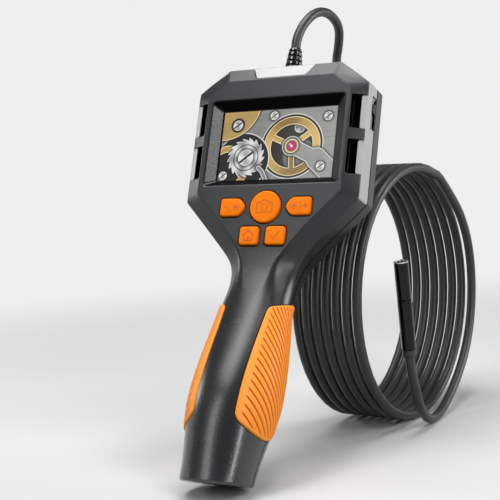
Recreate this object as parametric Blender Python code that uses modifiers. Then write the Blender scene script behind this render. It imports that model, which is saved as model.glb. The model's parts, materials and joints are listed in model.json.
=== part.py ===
"""Handheld inspection camera: a screen head on a leaning grip, with its probe on a coiled cable.

The camera body is modelled upright in its own frame: X to the right, Y from the screen to the
back, Z up, with the origin in the middle of the front face's top edge. An empty then leans it
back, so that the heel of the handle stands on the floor, as the coil of cable behind it does.
All lengths are in metres.
"""

import math

import bmesh
import bpy
import numpy as np
from mathutils import Matrix, Vector

OBJECT_NAME = "inspection_camera"

# Fits
GAP = 0.0003                # between pieces that touch
RUN_GAP = 0.0004            # round a button in its hole
CUT_OVER = 0.002            # how far a cutter runs past what it cuts
FAR = 0.08                  # reach of the cutters that split the housing

# Stance
LEAN = math.radians(21.5)   # the camera leans back on its coil

# Head
HEAD_WIDTH = 0.1028         # across the side walls
HEAD_DEPTH = 0.034          # front face to back
HEAD_TOP_Z = 0.0086
TOP_WIDTH = 0.069           # flat top, between the upper corners
TOP_BACK = 0.0275           # back edge of the flat top
SHOULDER_Z = -0.00475       # the side walls start here
SIDE_FOOT_Z = -0.0685       # and end here
FACE_WIDTH = 0.0852         # front face, between the side chamfers
FACE_TOP_WIDTH = 0.0638
FACE_SHOULDER_Z = -0.0087
FACE_FOOT_Z = -0.0646
FACE_LOW_Z = -0.088         # the lower diagonals of the face end here
FACE_LOW_WIDTH = 0.037
CHAMFER_DEPTH = 0.0042      # front face to the outer edge of the chamfer
BACK_EDGE = 0.024           # the back bevel starts here
BACK_WIDTH = 0.089
SHOULDER_SLOPE = 0.977      # loss of half width along the lower diagonals
EDGE_ROUND = 0.14           # share of an edge that its corner's round takes on the head
TOP_ROUND = 0.0006

# Handle, an oval that leans towards the user
HANDLE_LEAN = math.radians(13.2)
WAIST_Z = -0.1055
WAIST_AXIS = 0.0078         # depth of the handle's axis at the waist
WAIST_WIDTH = 0.0356
WAIST_DEPTH = 0.0206
BELLY_Z = -0.1775
BELLY_WIDTH = 0.0458
BELLY_DEPTH = 0.0437
END_Z = -0.2205
END_WIDTH = 0.0377
END_DEPTH = 0.0329
END_ROUND = 0.0016
NECK_BLEND = 0.0058
TURN_TOP_Z = -0.0892         # the head's corners start to turn into the oval here
TURN_FOOT_Z = -0.1313
FRONT_BLEND = 0.0008
OVAL_FLAT = 0.5             # flat share of the oval's control shape, front and back
OVAL_BEVEL = 0.3            # share of its depth that each bevel takes
CORNER_POINTS = 3
HANDLE_STEPS = 9
NECK_STEPS = 7

# Housing walls and where the housing splits
WALL = 0.0022
END_WALL = 0.003
FRAME_SPLIT = 0.0042        # front shell to side frame
PARTING_DEPTH = 0.016       # side frame to back shell
PARTING_BEHIND = 0.0015     # the handle's parting line lies this far behind its axis
FRAME_FOOT_Z = -0.0695

# Screen recess and what lies behind it
SCREEN_Z = -0.0365          # middle of the screen
SCREEN_WIDTH = 0.0696
SCREEN_HEIGHT = 0.0414
RECESS_WIDTH = 0.0784       # mouth of the recess
RECESS_HEIGHT = 0.0484
RECESS_DEPTH = 0.0048
RECESS_WALL = 0.0022
RECESS_ROUND = 0.003
WINDOW_THICK = 0.001
WINDOW_LIP = 0.0018         # overlap of the window behind the recess
GASKET_THICK = 0.0008
GASKET_WIDTH = 0.0014
PANEL_LIP = 0.0032
PANEL_THICK = 0.0028
BOARD_THICK = 0.0016
BOARD_HALF = 0.0365
BOARD_EDGE_GAP = 0.0032     # from the ears of the board to the side wall
BOARD_EAR_TOP_Z = -0.011
BOARD_EAR_FOOT_Z = -0.055
BOARD_TOP_Z = -0.0105
BOARD_SHOULDER_Z = -0.066
BOARD_FOOT_Z = -0.096
BOARD_FOOT_HALF = 0.0145

# Notches in the chamfer, each with a black slot beside a tongue of the side frame
NOTCH_INNER = 0.0432        # from the middle plane
TONGUE_INNER = 0.0478
NOTCH_HEIGHT = 0.019
NOTCH_UPPER_Z = -0.0215
NOTCH_LOWER_Z = -0.0465
NOTCH_FLOOR = 0.0052        # depth of the slot
NOTCH_FLOOR_THICK = 0.0017
TONGUE_SUNK = 0.0006
TOP_NOTCH_WIDTH = 0.038
TOP_NOTCH_FOOT_WIDTH = 0.030
TOP_NOTCH_FOOT_Z = 0.0009

# Buttons
BUTTON_ROW_Z = -0.0735
LOWER_ROW_Z = -0.0894
ROUND_BUTTON_WIDTH = 0.0176
SIDE_BUTTON_X = 0.0192
SIDE_BUTTON_WIDTH = 0.0150
SIDE_BUTTON_HEIGHT = 0.0098
SIDE_BUTTON_TIP = 0.0036    # length of the pointed end
LOWER_BUTTON_X = 0.0077
LOWER_BUTTON_WIDTH = 0.0112
LOWER_BUTTON_HEIGHT = 0.0100
BUTTON_CORNER = 0.0020
BUTTON_PROUD = 0.0013
BUTTON_TRAVEL = 0.0008
BUTTON_EDGE = 0.0005
FLANGE_WIDTH = 0.0009
FLANGE_THICK = 0.001
MAT_THICK = 0.002
MAT_POST = 0.0025
MAT_TOP_Z = -0.0642
MAT_TOP_HALF = 0.0285
MAT_FOOT_HALF = 0.0142

# Power slide switch on the right side, and the sockets on the left
SLIDER_Z = -0.017
SLIDER_TRAVEL = 0.005
SLIDER_RECESS_TOP_Z = -0.0106
SLIDER_RECESS_FOOT_Z = -0.0282
SLIDER_Y = 0.0128
SLIDER_RECESS_WIDTH = 0.0046
SLIDER_RECESS_DEPTH = 0.0013
SLIDER_END_SLOPE = 0.0018
KNOB_HEIGHT = 0.005
KNOB_WIDTH = 0.0036
KNOB_SUNK = 0.0001
STEM_HEIGHT = 0.003
STEM_WIDTH = 0.0014
SWITCH_LENGTH = 0.015
SWITCH_DEPTH = 0.0031
SWITCH_WIDTH = 0.005
USB_Z = -0.026
USB_HEIGHT = 0.0091
USB_DEPTH = 0.0031
USB_LENGTH = 0.0072
CARD_Z = -0.043
CARD_HEIGHT = 0.0125
CARD_DEPTH = 0.0022
CARD_LENGTH = 0.0072

# Battery cell in the handle, held by ribs
CELL_WIDTH = 0.0184
CELL_LENGTH = 0.065
CELL_Z = -0.165
RIB_THICK = 0.002
RIB_STEP = 0.024

# Case screws, as (x, z) from behind
SCREW_SHANK = 0.0013
SCREW_HEAD = 0.0026
SCREW_HEAD_THICK = 0.0018
SCREW_SUNK = 0.0012
SCREW_LENGTH = 0.021
HANDLE_SCREW_LENGTH = 0.016
POST_FRONT = 0.003
POST_BACK = 0.0042
SCREW_UPPER = (0.038, -0.006)
SCREW_LOWER = (0.040, -0.0645)
SCREW_NECK_Z = -0.113
SCREW_END_Z = -0.209

# Rubber grips on both sides of the handle
GRIP_TOP_Z = -0.1292        # at the front edge
GRIP_TOP_RISE = 0.0046      # to the back edge
GRIP_FOOT_Z = -0.1885
GRIP_FOOT_DROP = 0.0088     # to the foot's lowest place
GRIP_TOP_SHARE = 0.235      # front edge at the top, as a share of a half turn from the front
GRIP_FOOT_SHARE = 0.168     # front edge at the foot
GRIP_BOW_SHARE = 0.021      # how far the front edge bows forwards between them
GRIP_BACK_SHARE = 0.74
GRIP_CORNER = 0.0034        # rise of its rounded corners
GRIP_CORNER_SHARE = 0.10    # share of the width that a corner takes
GRIP_SWEEP_SHARE = 0.7      # how far the ribs sweep down from front to back
GRIP_RIBS = 17
GRIP_PROUD = 0.0009
GRIP_GROOVE = 0.0006
GRIP_SUNK = 0.0011
GRIP_ARC_STEPS = 10
POCKET_ROWS = 10
POCKET_CROWD = 1.7          # power that crowds its rows towards the curved neck

# Cable, its strain relief and its coil
CABLE_WIDTH = 0.0054
RELIEF_Y = 0.0156
RELIEF_TOP_Z = 0.0232
RELIEF_BASE = 0.0053        # outer radius at the case
RELIEF_TIP = 0.0036
RELIEF_RIBS = 5
RELIEF_NECK = 0.0036        # radius in the case wall
RELIEF_FLANGE = 0.0052
RELIEF_FLANGE_THICK = 0.0018
COIL_TURNS = 7
COIL_RADIUS = 0.0733        # to the middle of the cable
COIL_PITCH = 0.0063
COIL_START_X = 0.0070
COIL_BEHIND = 0.1133        # middle of the coil, in the camera's own frame
COIL_BELOW = -0.0938
COIL_YAW = math.radians(-6.9)
COIL_START = math.radians(21.5)
COIL_POINTS = 24
TUBE_STEP = 0.0115          # along a free stretch of cable
LEAD_ROUTE = (
    (0.0013, 0.0178, 0.0374), (0.0027, 0.0211, 0.0435), (0.0042, 0.0263, 0.0495),
    (0.0056, 0.0327, 0.0535), (0.0065, 0.0399, 0.0556), (0.0070, 0.0474, 0.0558),
    (0.0068, 0.0539, 0.0546), (0.0058, 0.0594, 0.0522), (0.0042, 0.0635, 0.0492),
    (0.0027, 0.0669, 0.0459), (0.0006, 0.0708, 0.0408), (0.0008, 0.0765, 0.0220),
    (0.0023, 0.0815, 0.0022), (0.0043, 0.0872, -0.0058), (0.0061, 0.0928, -0.0112),
)
TAIL_ROUTE = (
    (0.0585, 0.1289, -0.0281), (0.0605, 0.1459, -0.0357), (0.0615, 0.1617, -0.0470),
    (0.0620, 0.1730, -0.0622), (0.0620, 0.1795, -0.0801), (0.0620, 0.1794, -0.1006),
    (0.0620, 0.1732, -0.1184), (0.0615, 0.1627, -0.1353), (0.0608, 0.1509, -0.1495),
    (0.0602, 0.1386, -0.1602), (0.0600, 0.1244, -0.1663), (0.0600, 0.1123, -0.1668),
    (0.0600, 0.1012, -0.1630), (0.0600, 0.0925, -0.1562),
)

# Camera probe on the end of the cable
PROBE_BASE = (0.0600, 0.0765, -0.1385)
PROBE_TIP = (0.0600, 0.0496, -0.0907)
PROBE_WIDTH = 0.008
COLLAR_LENGTH = 0.0046
COLLAR_MOUTH = 0.0058
CAP_SHARE = 0.43            # share of the barrel that the front cap takes
BARREL_EDGE = 0.0004
TIP_BORE = 0.0064
TIP_DEPTH = 0.0022
RING_THICK = 0.0014
LENS_WIDTH = 0.0028
LENS_THICK = 0.0012

ROUND_STEPS = 24
RELIEF_STEPS = 16
PROBE_STEPS = 28


def smooth_max(a, b, blend):
    """Return the larger of two values, rounded where they cross."""
    return 0.5 * (a + b + math.hypot(a - b, blend))


def smooth_step(low, high, value):
    """Return 0 at low and 1 at high, with level ends."""
    t = min(max((value - low) / (high - low), 0.0), 1.0)
    return t * t * (3.0 - 2.0 * t)


def mix(a, b, share):
    """Return the value between a and b."""
    return a + (b - a) * share


def handle_axis(z):
    """Return the depth of the handle's leaning axis at a height."""
    return WAIST_AXIS + (z - WAIST_Z) * math.tan(HANDLE_LEAN)


def handle_half(z, waist, belly, end):
    """Return half a size of the handle, which swells from its waist to its belly."""
    if z > BELLY_Z:
        return 0.5 * mix(belly, waist, smooth_step(BELLY_Z, WAIST_Z, z))
    return 0.5 * mix(end, belly, smooth_step(END_Z, BELLY_Z, z))


def head_corners(z):
    """Return the head's corners above the front face's foot: face, outer front, outer back, rear."""
    half = HEAD_WIDTH / 2
    rear = BACK_WIDTH / 2
    face_top = FACE_TOP_WIDTH / 2
    face = FACE_WIDTH / 2
    top = TOP_WIDTH / 2
    if z >= 0.0:
        rise = z / HEAD_TOP_Z
        corner = TOP_ROUND * 1.4
        foot_side = mix(half, top, SHOULDER_Z / (SHOULDER_Z - HEAD_TOP_Z))
        return (
            (mix(face_top, top - corner, rise), CHAMFER_DEPTH * rise),
            (mix(foot_side, top, rise), CHAMFER_DEPTH + corner * rise),
            (mix(foot_side, top, rise), BACK_EDGE - corner * rise),
            (mix(foot_side - (half - rear), top - 3 * corner, rise), mix(HEAD_DEPTH, TOP_BACK, rise)),
        )
    side = half
    if z > SHOULDER_Z:
        side = mix(half, top, (z - SHOULDER_Z) / (HEAD_TOP_Z - SHOULDER_Z))
    if z > FACE_SHOULDER_Z:
        face = mix(face, face_top, (z - FACE_SHOULDER_Z) / -FACE_SHOULDER_Z)
    return (face, 0.0), (side, CHAMFER_DEPTH), (side, BACK_EDGE), (side - (half - rear), HEAD_DEPTH)


def housing_corners(z):
    """Return the right half's four corners at a height, and how round they are."""
    if z >= FACE_FOOT_Z:
        return head_corners(z), EDGE_ROUND
    half = HEAD_WIDTH / 2
    waist = handle_half(z, WAIST_WIDTH, BELLY_WIDTH, END_WIDTH)
    deep = handle_half(z, WAIST_DEPTH, BELLY_DEPTH, END_DEPTH)
    axis = handle_axis(z)
    side = min(half, smooth_max(half - (SIDE_FOOT_Z - z) * SHOULDER_SLOPE, waist, NECK_BLEND))
    slope = (FACE_WIDTH - FACE_LOW_WIDTH) / 2 / (FACE_FOOT_Z - FACE_LOW_Z)
    face = FACE_WIDTH / 2 - (FACE_FOOT_Z - z) * slope
    face = min(FACE_WIDTH / 2, smooth_max(face, OVAL_FLAT * side, NECK_BLEND))
    front = -smooth_max(0.0, deep - axis, FRONT_BLEND)
    turn = 1.0 - smooth_step(TURN_FOOT_Z, TURN_TOP_Z, z)
    back = mix(HEAD_DEPTH, axis + deep, turn)
    bevel = OVAL_BEVEL * (back - front)
    rear = mix(side - (half - BACK_WIDTH / 2), OVAL_FLAT * side, turn)
    corners = (
        (face, front),
        (side, mix(CHAMFER_DEPTH, front + bevel, turn)),
        (side, mix(BACK_EDGE, back - bevel, turn)),
        (rear, back),
    )
    return corners, mix(EDGE_ROUND, 1.0, turn)


def grow_outline(points, grow):
    """Return a closed outline moved outwards by a distance, or inwards by a negative one."""
    count = len(points)
    lines = []
    for index in range(count):
        start = Vector(points[index])
        end = Vector(points[(index + 1) % count])
        along = (end - start).normalized()
        out = Vector((along.y, -along.x))
        lines.append((start + out * grow, along))
    moved = []
    for index in range(count):
        p, d = lines[index - 1]
        q, e = lines[index]
        cross = d.x * e.y - d.y * e.x
        if abs(cross) < 1e-9:
            moved.append(q)
        else:
            moved.append(p + d * (((q - p).x * e.y - (q - p).y * e.x) / cross))
    return moved


def round_corners(points, shares, steps):
    """Return a closed outline with each corner replaced by a round over a share of its edges."""
    count = len(points)
    result = []
    for index in range(count):
        corner = points[index]
        before = points[index - 1] - corner
        after = points[(index + 1) % count] - corner
        reach = 0.5 * shares[index] * min(before.length, after.length)
        start = corner + before.normalized() * reach
        end = corner + after.normalized() * reach
        if shares[index] > 0.99:
            start = corner + 0.5 * before
            end = corner + 0.5 * after
        for step in range(steps):
            t = (step + 0.5) / steps
            result.append(start * (1 - t) ** 2 + corner * (2 * t * (1 - t)) + end * t * t)
    return result


def housing_ring(z, grow=0.0):
    """Return the housing's outline at a height as points in space."""
    right, share = housing_corners(z)
    corners = [Vector(p) for p in right]
    corners += [Vector((-x, y)) for x, y in reversed(right)]
    outline = round_corners(grow_outline(corners, grow), [share] * len(corners), CORNER_POINTS)
    return [Vector((p.x, p.y, z)) for p in outline]


def housing_levels():
    """Return the heights of the sections that the housing is lofted through."""
    head = [HEAD_TOP_Z - TOP_ROUND, 0.0, SHOULDER_Z, FACE_SHOULDER_Z, FACE_FOOT_Z, SIDE_FOOT_Z]
    neck = [mix(SIDE_FOOT_Z, WAIST_Z, k / NECK_STEPS) for k in range(1, NECK_STEPS)]
    foot = END_Z + END_ROUND
    handle = [mix(WAIST_Z, foot, k / HANDLE_STEPS) for k in range(HANDLE_STEPS + 1)]
    return head + neck + handle


def fresh_collection(name):
    """Return a new collection in the scene."""
    made = bpy.data.collections.new(name)
    bpy.context.scene.collection.children.link(made)
    return made


def finish(name, colour, roughness, metallic=0.0):
    """Return a Principled material."""
    made = bpy.data.materials.new(name)
    made.use_nodes = True
    shader = made.node_tree.nodes["Principled BSDF"]
    shader.inputs["Base Color"].default_value = (*colour, 1.0)
    shader.inputs["Roughness"].default_value = roughness
    shader.inputs["Metallic"].default_value = metallic
    return made


class Workshop:
    """Keeps the collections, the finishes and the empty that carries the camera body."""

    def __init__(self):
        self.parts = fresh_collection(OBJECT_NAME)
        self.cutters = fresh_collection("cutters")
        self.frame = bpy.data.objects.new("camera_frame", None)
        self.parts.objects.link(self.frame)
        self.finishes = {
            "charcoal": finish("charcoal_plastic", (0.06, 0.062, 0.065), 0.5),
            "silver": finish("light_grey_plastic", (0.42, 0.42, 0.42), 0.4),
            "orange": finish("orange_rubber", (0.95, 0.26, 0.01), 0.45),
            "clear": finish("clear_window", (0.5, 0.5, 0.5), 0.05),
            "black": finish("black_rubber", (0.012, 0.012, 0.012), 0.5),
            "board": finish("circuit_board", (0.02, 0.12, 0.05), 0.5),
            "steel": finish("zinc_steel", (0.6, 0.6, 0.6), 0.3, 1.0),
            "cell": finish("cell_wrap", (0.08, 0.2, 0.5), 0.4),
            "cable": finish("cable_jacket", (0.055, 0.052, 0.05), 0.4),
            "gunmetal": finish("gloss_gunmetal", (0.05, 0.05, 0.055), 0.12, 0.9),
            "glass": finish("lens_glass", (0.02, 0.02, 0.03), 0.03),
            "panel": finish("display_panel", (0.3, 0.3, 0.28), 0.3),
            "ring": finish("lamp_ring", (0.8, 0.75, 0.5), 0.3),
        }

    def part(self, name, mesh, colour, place=None):
        """Add a sub-part of the camera body, with its origin at a place in the body's frame."""
        made = bpy.data.objects.new(name, mesh)
        mesh.materials.append(self.finishes[colour])
        if place is not None:
            made.location = place
        made.parent = self.frame
        self.parts.objects.link(made)
        return made

    def tool(self, name, mesh, place=None):
        """Add a cutter in the camera body's frame."""
        made = bpy.data.objects.new(name, mesh)
        if place is not None:
            made.location = place
        made.parent = self.frame
        made.hide_render = True
        made.display_type = "WIRE"
        self.cutters.objects.link(made)
        return made


def boolean(target, cutter, operation):
    """Add a Boolean modifier."""
    modifier = target.modifiers.new(operation.lower(), "BOOLEAN")
    modifier.operation = operation
    modifier.object = cutter
    modifier.solver = "EXACT"


def bevel(target, width, segments=2, angle=40.0):
    """Round the sharp edges."""
    modifier = target.modifiers.new("edge", "BEVEL")
    modifier.width = width
    modifier.segments = segments
    modifier.limit_method = "ANGLE"
    modifier.angle_limit = math.radians(angle)


def mesh_from(bm, name):
    """Return a mesh with its faces pointing out."""
    bmesh.ops.recalc_face_normals(bm, faces=bm.faces)
    mesh = bpy.data.meshes.new(name)
    bm.to_mesh(mesh)
    bm.free()
    return mesh


def loft(name, rings):
    """Return a closed mesh of triangles through rings of equal count."""
    bm = bmesh.new()
    rows = [[bm.verts.new(p) for p in ring] for ring in rings]
    count = len(rows[0])
    for upper, lower in zip(rows, rows[1:]):
        for k in range(count):
            n = (k + 1) % count
            bm.faces.new((upper[k], upper[n], lower[n], lower[k]))
    bm.faces.new(rows[0])
    bm.faces.new(rows[-1])
    bmesh.ops.triangulate(bm, faces=bm.faces)
    return mesh_from(bm, name)


def housing_loft(name, grow, top_z, foot_z, round_ends=False):
    """Return the housing's closed form, grown by a distance, between two heights."""
    levels = [z for z in housing_levels() if foot_z < z < top_z]
    rings = [housing_ring(z, grow) for z in levels]
    if round_ends:
        rings.insert(0, [Vector((p.x, p.y, top_z)) for p in housing_ring(top_z, grow - TOP_ROUND)])
        half = END_ROUND * 0.3
        rings.append([Vector((p.x, p.y, foot_z + half)) for p in housing_ring(foot_z + half, grow - half)])
        rings.append([Vector((p.x, p.y, foot_z)) for p in housing_ring(foot_z, grow - END_ROUND)])
    else:
        rings.insert(0, housing_ring(top_z, grow))
        rings.append(housing_ring(foot_z, grow))
    return loft(name, rings)


def prism(name, outline, axis, low, high):
    """Return a flat outline extruded along X or Y; the outline is in (y, z) or in (x, z)."""
    bm = bmesh.new()
    verts = []
    for a, b in outline:
        verts.append(bm.verts.new((low, a, b) if axis == "X" else (a, low, b)))
    face = bm.faces.new(verts)
    grown = bmesh.ops.extrude_face_region(bm, geom=[face])
    shift = Vector((high - low, 0, 0)) if axis == "X" else Vector((0, high - low, 0))
    moved = [v for v in grown["geom"] if isinstance(v, bmesh.types.BMVert)]
    bmesh.ops.translate(bm, verts=moved, vec=shift)
    return mesh_from(bm, name)


def box(name, low, high):
    """Return a box between two corners."""
    bm = bmesh.new()
    bmesh.ops.create_cube(bm, size=1.0)
    for v in bm.verts:
        v.co = Vector([mix(low[k], high[k], v.co[k] + 0.5) for k in range(3)])
    return mesh_from(bm, name)


def rod(name, start, end, radius, steps=ROUND_STEPS, tip=None):
    """Return a cylinder, or a cone, between two points."""
    start = Vector(start)
    along = Vector(end) - start
    turn = along.to_track_quat("Z", "Y").to_matrix().to_4x4()
    bm = bmesh.new()
    bmesh.ops.create_cone(bm, cap_ends=True, segments=steps, radius1=radius,
                          radius2=radius if tip is None else tip, depth=along.length)
    bmesh.ops.transform(bm, matrix=Matrix.Translation(start + along / 2) @ turn, verts=bm.verts)
    return mesh_from(bm, name)


def gather(name, meshes):
    """Return one mesh that holds several separate bodies, for use as a cutter."""
    bm = bmesh.new()
    for mesh in meshes:
        bm.from_mesh(mesh)
        bpy.data.meshes.remove(mesh)
    return mesh_from(bm, name)


def turned(name, profile, steps):
    """Return an object turned about Z from (radius, height) points that run from top to bottom."""
    mesh = bpy.data.meshes.new(name)
    points = [(r, 0.0, z) for r, z in profile]
    mesh.from_pydata(points, [(k, k + 1) for k in range(len(points) - 1)], [])
    made = bpy.data.objects.new(name, mesh)
    screw = made.modifiers.new("turn", "SCREW")
    screw.axis = "Z"
    screw.steps = steps
    screw.render_steps = steps
    screw.use_merge_vertices = True
    screw.merge_threshold = 0.00001
    return made


def rectangle(half_width, half_height, z, corner, steps=3):
    """Return a rounded rectangle in (x, z) about the middle plane."""
    points = [Vector((half_width, z - half_height)), Vector((half_width, z + half_height)),
              Vector((-half_width, z + half_height)), Vector((-half_width, z - half_height))]
    shares = [min(1.0, 2 * corner / (2 * min(half_width, half_height)))] * 4
    return [tuple(p) for p in round_corners(points, shares, steps)]


def button_shapes():
    """Return each button's name, middle and outline about that middle, in (x, z)."""
    steps = 30
    turns = [2 * math.pi * k / steps for k in range(steps)]
    circle = [Vector((math.cos(a), math.sin(a))) * ROUND_BUTTON_WIDTH / 2 for a in turns]
    w = SIDE_BUTTON_WIDTH / 2
    h = SIDE_BUTTON_HEIGHT / 2
    shoulder = w - SIDE_BUTTON_TIP
    left = [Vector(p) for p in ((-w, -h), (shoulder, -h), (w, 0.0), (shoulder, h), (-w, h))]
    right = [Vector((-p.x, p.y)) for p in reversed(left)]
    lw = LOWER_BUTTON_WIDTH / 2
    lh = LOWER_BUTTON_HEIGHT / 2
    square = [Vector(p) for p in ((-lw, -lh), (lw, -lh), (lw, lh), (-lw, lh))]
    return (
        ("button_capture", (0.0, BUTTON_ROW_Z), circle, False),
        ("button_dimmer", (-SIDE_BUTTON_X, BUTTON_ROW_Z), left, True),
        ("button_brighter", (SIDE_BUTTON_X, BUTTON_ROW_Z), right, True),
        ("button_home", (-LOWER_BUTTON_X, LOWER_ROW_Z), square, True),
        ("button_confirm", (LOWER_BUTTON_X, LOWER_ROW_Z), square, True),
    )


def rounded_button(outline, cornered, grow):
    """Return a button's outline grown by a distance, with its corners rounded."""
    if not cornered:
        radius = outline[0].length
        return [p * ((radius + grow) / radius) for p in outline]
    shares = []
    grown = grow_outline(outline, grow)
    for index, corner in enumerate(grown):
        edge = min((grown[index - 1] - corner).length, (grown[(index + 1) % len(grown)] - corner).length)
        shares.append(min(0.95, 2 * (BUTTON_CORNER + max(grow, 0.0)) / edge))
    return round_corners(grown, shares, 3)


def shifted(outline, middle):
    """Return an outline moved to its middle, as tuples."""
    return [(p[0] + middle[0], p[1] + middle[1]) for p in outline]


def parting(z):
    """Return the depth of the parting line between the front and back shells."""
    turn = 1.0 - smooth_step(TURN_FOOT_Z, TURN_TOP_Z, z)
    return mix(PARTING_DEPTH, handle_axis(z) + PARTING_BEHIND, turn)


def parting_line(offset):
    """Return the parting line below the side frame, from top to bottom, as (y, z)."""
    steps = 14
    levels = [mix(FRAME_FOOT_Z, END_Z - CUT_OVER, k / steps) for k in range(steps + 1)]
    return [(parting(z) + offset, z) for z in levels]


def screw_places():
    """Return each case screw's x, z, the depth of the back face over it, and its length."""
    places = []
    for x, z in (SCREW_UPPER, SCREW_LOWER):
        for side in (-1, 1):
            places.append((side * x, z, HEAD_DEPTH, SCREW_LENGTH))
    for z in (SCREW_NECK_Z, SCREW_END_Z):
        places.append((0.0, z, housing_corners(z)[0][3][1], HANDLE_SCREW_LENGTH))
    return places


def notch_outlines(clearance, tongue):
    """Return the outlines of the side notches, or of the tongues in them, in (x, z)."""
    inner = (TONGUE_INNER if tongue else NOTCH_INNER) + clearance
    outer = HEAD_WIDTH / 2 + CUT_OVER
    half = NOTCH_HEIGHT / 2 - clearance
    found = []
    for z in (NOTCH_UPPER_Z, NOTCH_LOWER_Z):
        for side in (-1, 1):
            a, b = sorted((side * inner, side * outer))
            found.append([(a, z - half), (b, z - half), (b, z + half), (a, z + half)])
    return found


def top_notch(clearance):
    """Return the outline of the notch in the top chamfer, in (x, z)."""
    top = HEAD_TOP_Z + CUT_OVER
    foot = TOP_NOTCH_FOOT_Z + clearance
    flare = (TOP_NOTCH_WIDTH - TOP_NOTCH_FOOT_WIDTH) / 2 / (HEAD_TOP_Z - TOP_NOTCH_FOOT_Z)
    low = TOP_NOTCH_FOOT_WIDTH / 2 - clearance
    high = low + flare * (top - foot)
    return [(-low, foot), (low, foot), (high, top), (-high, top)]


def recess_block(name, grow, front, back):
    """Return the screen recess's sloped form between two depths, grown by a distance."""
    rings = []
    for y in (front, back):
        share = y / RECESS_DEPTH
        half_width = mix(RECESS_WIDTH, SCREEN_WIDTH, share) / 2 + grow
        half_height = mix(RECESS_HEIGHT, SCREEN_HEIGHT, share) / 2 + grow
        corner = mix(RECESS_ROUND, RECESS_ROUND / 3, share) + grow
        rings.append([Vector((x, y, z)) for x, z in rectangle(half_width, half_height, SCREEN_Z, corner)])
    return loft(name, rings)


def slider_recess():
    """Return the slide switch's recess, with sloped ends, as a cutter outline in (x, z)."""
    outer = HEAD_WIDTH / 2 + CUT_OVER
    wall = HEAD_WIDTH / 2
    floor = wall - SLIDER_RECESS_DEPTH
    slope = SLIDER_END_SLOPE / SLIDER_RECESS_DEPTH
    run = slope * (outer - floor)
    top = SLIDER_RECESS_TOP_Z - SLIDER_END_SLOPE
    foot = SLIDER_RECESS_FOOT_Z + SLIDER_END_SLOPE
    return [(floor, foot), (outer, foot - run), (outer, top + run), (floor, top)]


def panel_depths():
    """Return the front depth of each layer behind the recess: window, gasket, panel, board."""
    window = RECESS_DEPTH + GAP
    gasket = window + WINDOW_THICK + GAP
    panel = gasket + GASKET_THICK + GAP
    board = panel + PANEL_THICK + GAP
    return window, gasket, panel, board


def cell_ends():
    """Return the two ends of the battery cell's axis."""
    along = Vector((0.0, math.sin(HANDLE_LEAN), math.cos(HANDLE_LEAN)))
    middle = Vector((0.0, handle_axis(CELL_Z), CELL_Z))
    return middle - along * CELL_LENGTH / 2, middle + along * CELL_LENGTH / 2


def oval_point(z, share, grow):
    """Return a point on the right of the handle, a share of a half turn round from the front."""
    ring = housing_ring(z, grow)
    half = [p for p in ring if p.x >= 0.0]
    half.sort(key=lambda p: p.y)
    half = [Vector((0.0, half[0].y, z)), *half, Vector((0.0, half[-1].y, z))]
    lengths = [0.0]
    for a, b in zip(half, half[1:]):
        lengths.append(lengths[-1] + (b - a).length)
    target = share * lengths[-1]
    for k in range(len(half) - 1):
        if lengths[k + 1] >= target:
            t = (target - lengths[k]) / (lengths[k + 1] - lengths[k])
            return half[k].lerp(half[k + 1], t)
    return half[-1]


def grip_edges(across):
    """Return the heights of a grip's top and foot, from its front edge (0) to its back edge (1)."""
    inset = max(0.0, 1.0 - min(across, 1.0 - across) / GRIP_CORNER_SHARE)
    corner = GRIP_CORNER * (1.0 - math.sqrt(1.0 - inset * inset))
    top = GRIP_TOP_Z + GRIP_TOP_RISE * math.sin(0.5 * math.pi * across) - corner
    foot = GRIP_FOOT_Z - GRIP_FOOT_DROP * math.sin(0.85 * math.pi * across) + corner
    return top, foot


def grip_mesh(name, shares, sweep, clearance, floor, proud, groove):
    """Return the right grip's closed form, or its pocket's, as a sheet with curved ribs.

    Rows lie at the given shares of the way from top to foot, and sweep down from the front edge to
    the back edge. Odd rows are grooves.
    """
    rows = len(shares)
    columns = GRIP_ARC_STEPS + 1
    outer = []
    inner = []
    margin = clearance / WAIST_WIDTH
    for i, along in enumerate(shares):
        bow = 4.0 * GRIP_BOW_SHARE * along * (1.0 - along)
        front = mix(GRIP_TOP_SHARE, GRIP_FOOT_SHARE, along) - bow - margin
        out_row = []
        in_row = []
        for j in range(columns):
            across = 0.5 - 0.5 * math.cos(math.pi * j / (columns - 1))
            round_share = mix(front, GRIP_BACK_SHARE + margin, across)
            top, foot = grip_edges(across)
            swept = along + sweep * across * along * (1.0 - along)
            z = mix(top + clearance, foot - clearance, swept)
            edge = j in (0, columns - 1) or i in (0, rows - 1)
            lift = proud * (0.25 if edge else 1.0)
            if i % 2 and not edge:
                lift -= groove
            out_row.append(oval_point(z, round_share, lift))
            in_row.append(oval_point(z, round_share, -floor))
        outer.append(out_row)
        inner.append(in_row)
    bm = bmesh.new()
    sheets = [[[bm.verts.new(p) for p in row] for row in sheet] for sheet in (outer, inner)]
    for sheet in sheets:
        for i in range(rows - 1):
            for j in range(columns - 1):
                bm.faces.new((sheet[i][j], sheet[i][j + 1], sheet[i + 1][j + 1], sheet[i + 1][j]))
    rim = [(0, j) for j in range(columns)] + [(i, columns - 1) for i in range(1, rows)]
    rim += [(rows - 1, j) for j in range(columns - 2, -1, -1)] + [(i, 0) for i in range(rows - 2, 0, -1)]
    for k, (i, j) in enumerate(rim):
        m, n = rim[(k + 1) % len(rim)]
        bm.faces.new((sheets[0][i][j], sheets[0][m][n], sheets[1][m][n], sheets[1][i][j]))
    bmesh.ops.triangulate(bm, faces=bm.faces)
    return mesh_from(bm, name)


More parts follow.
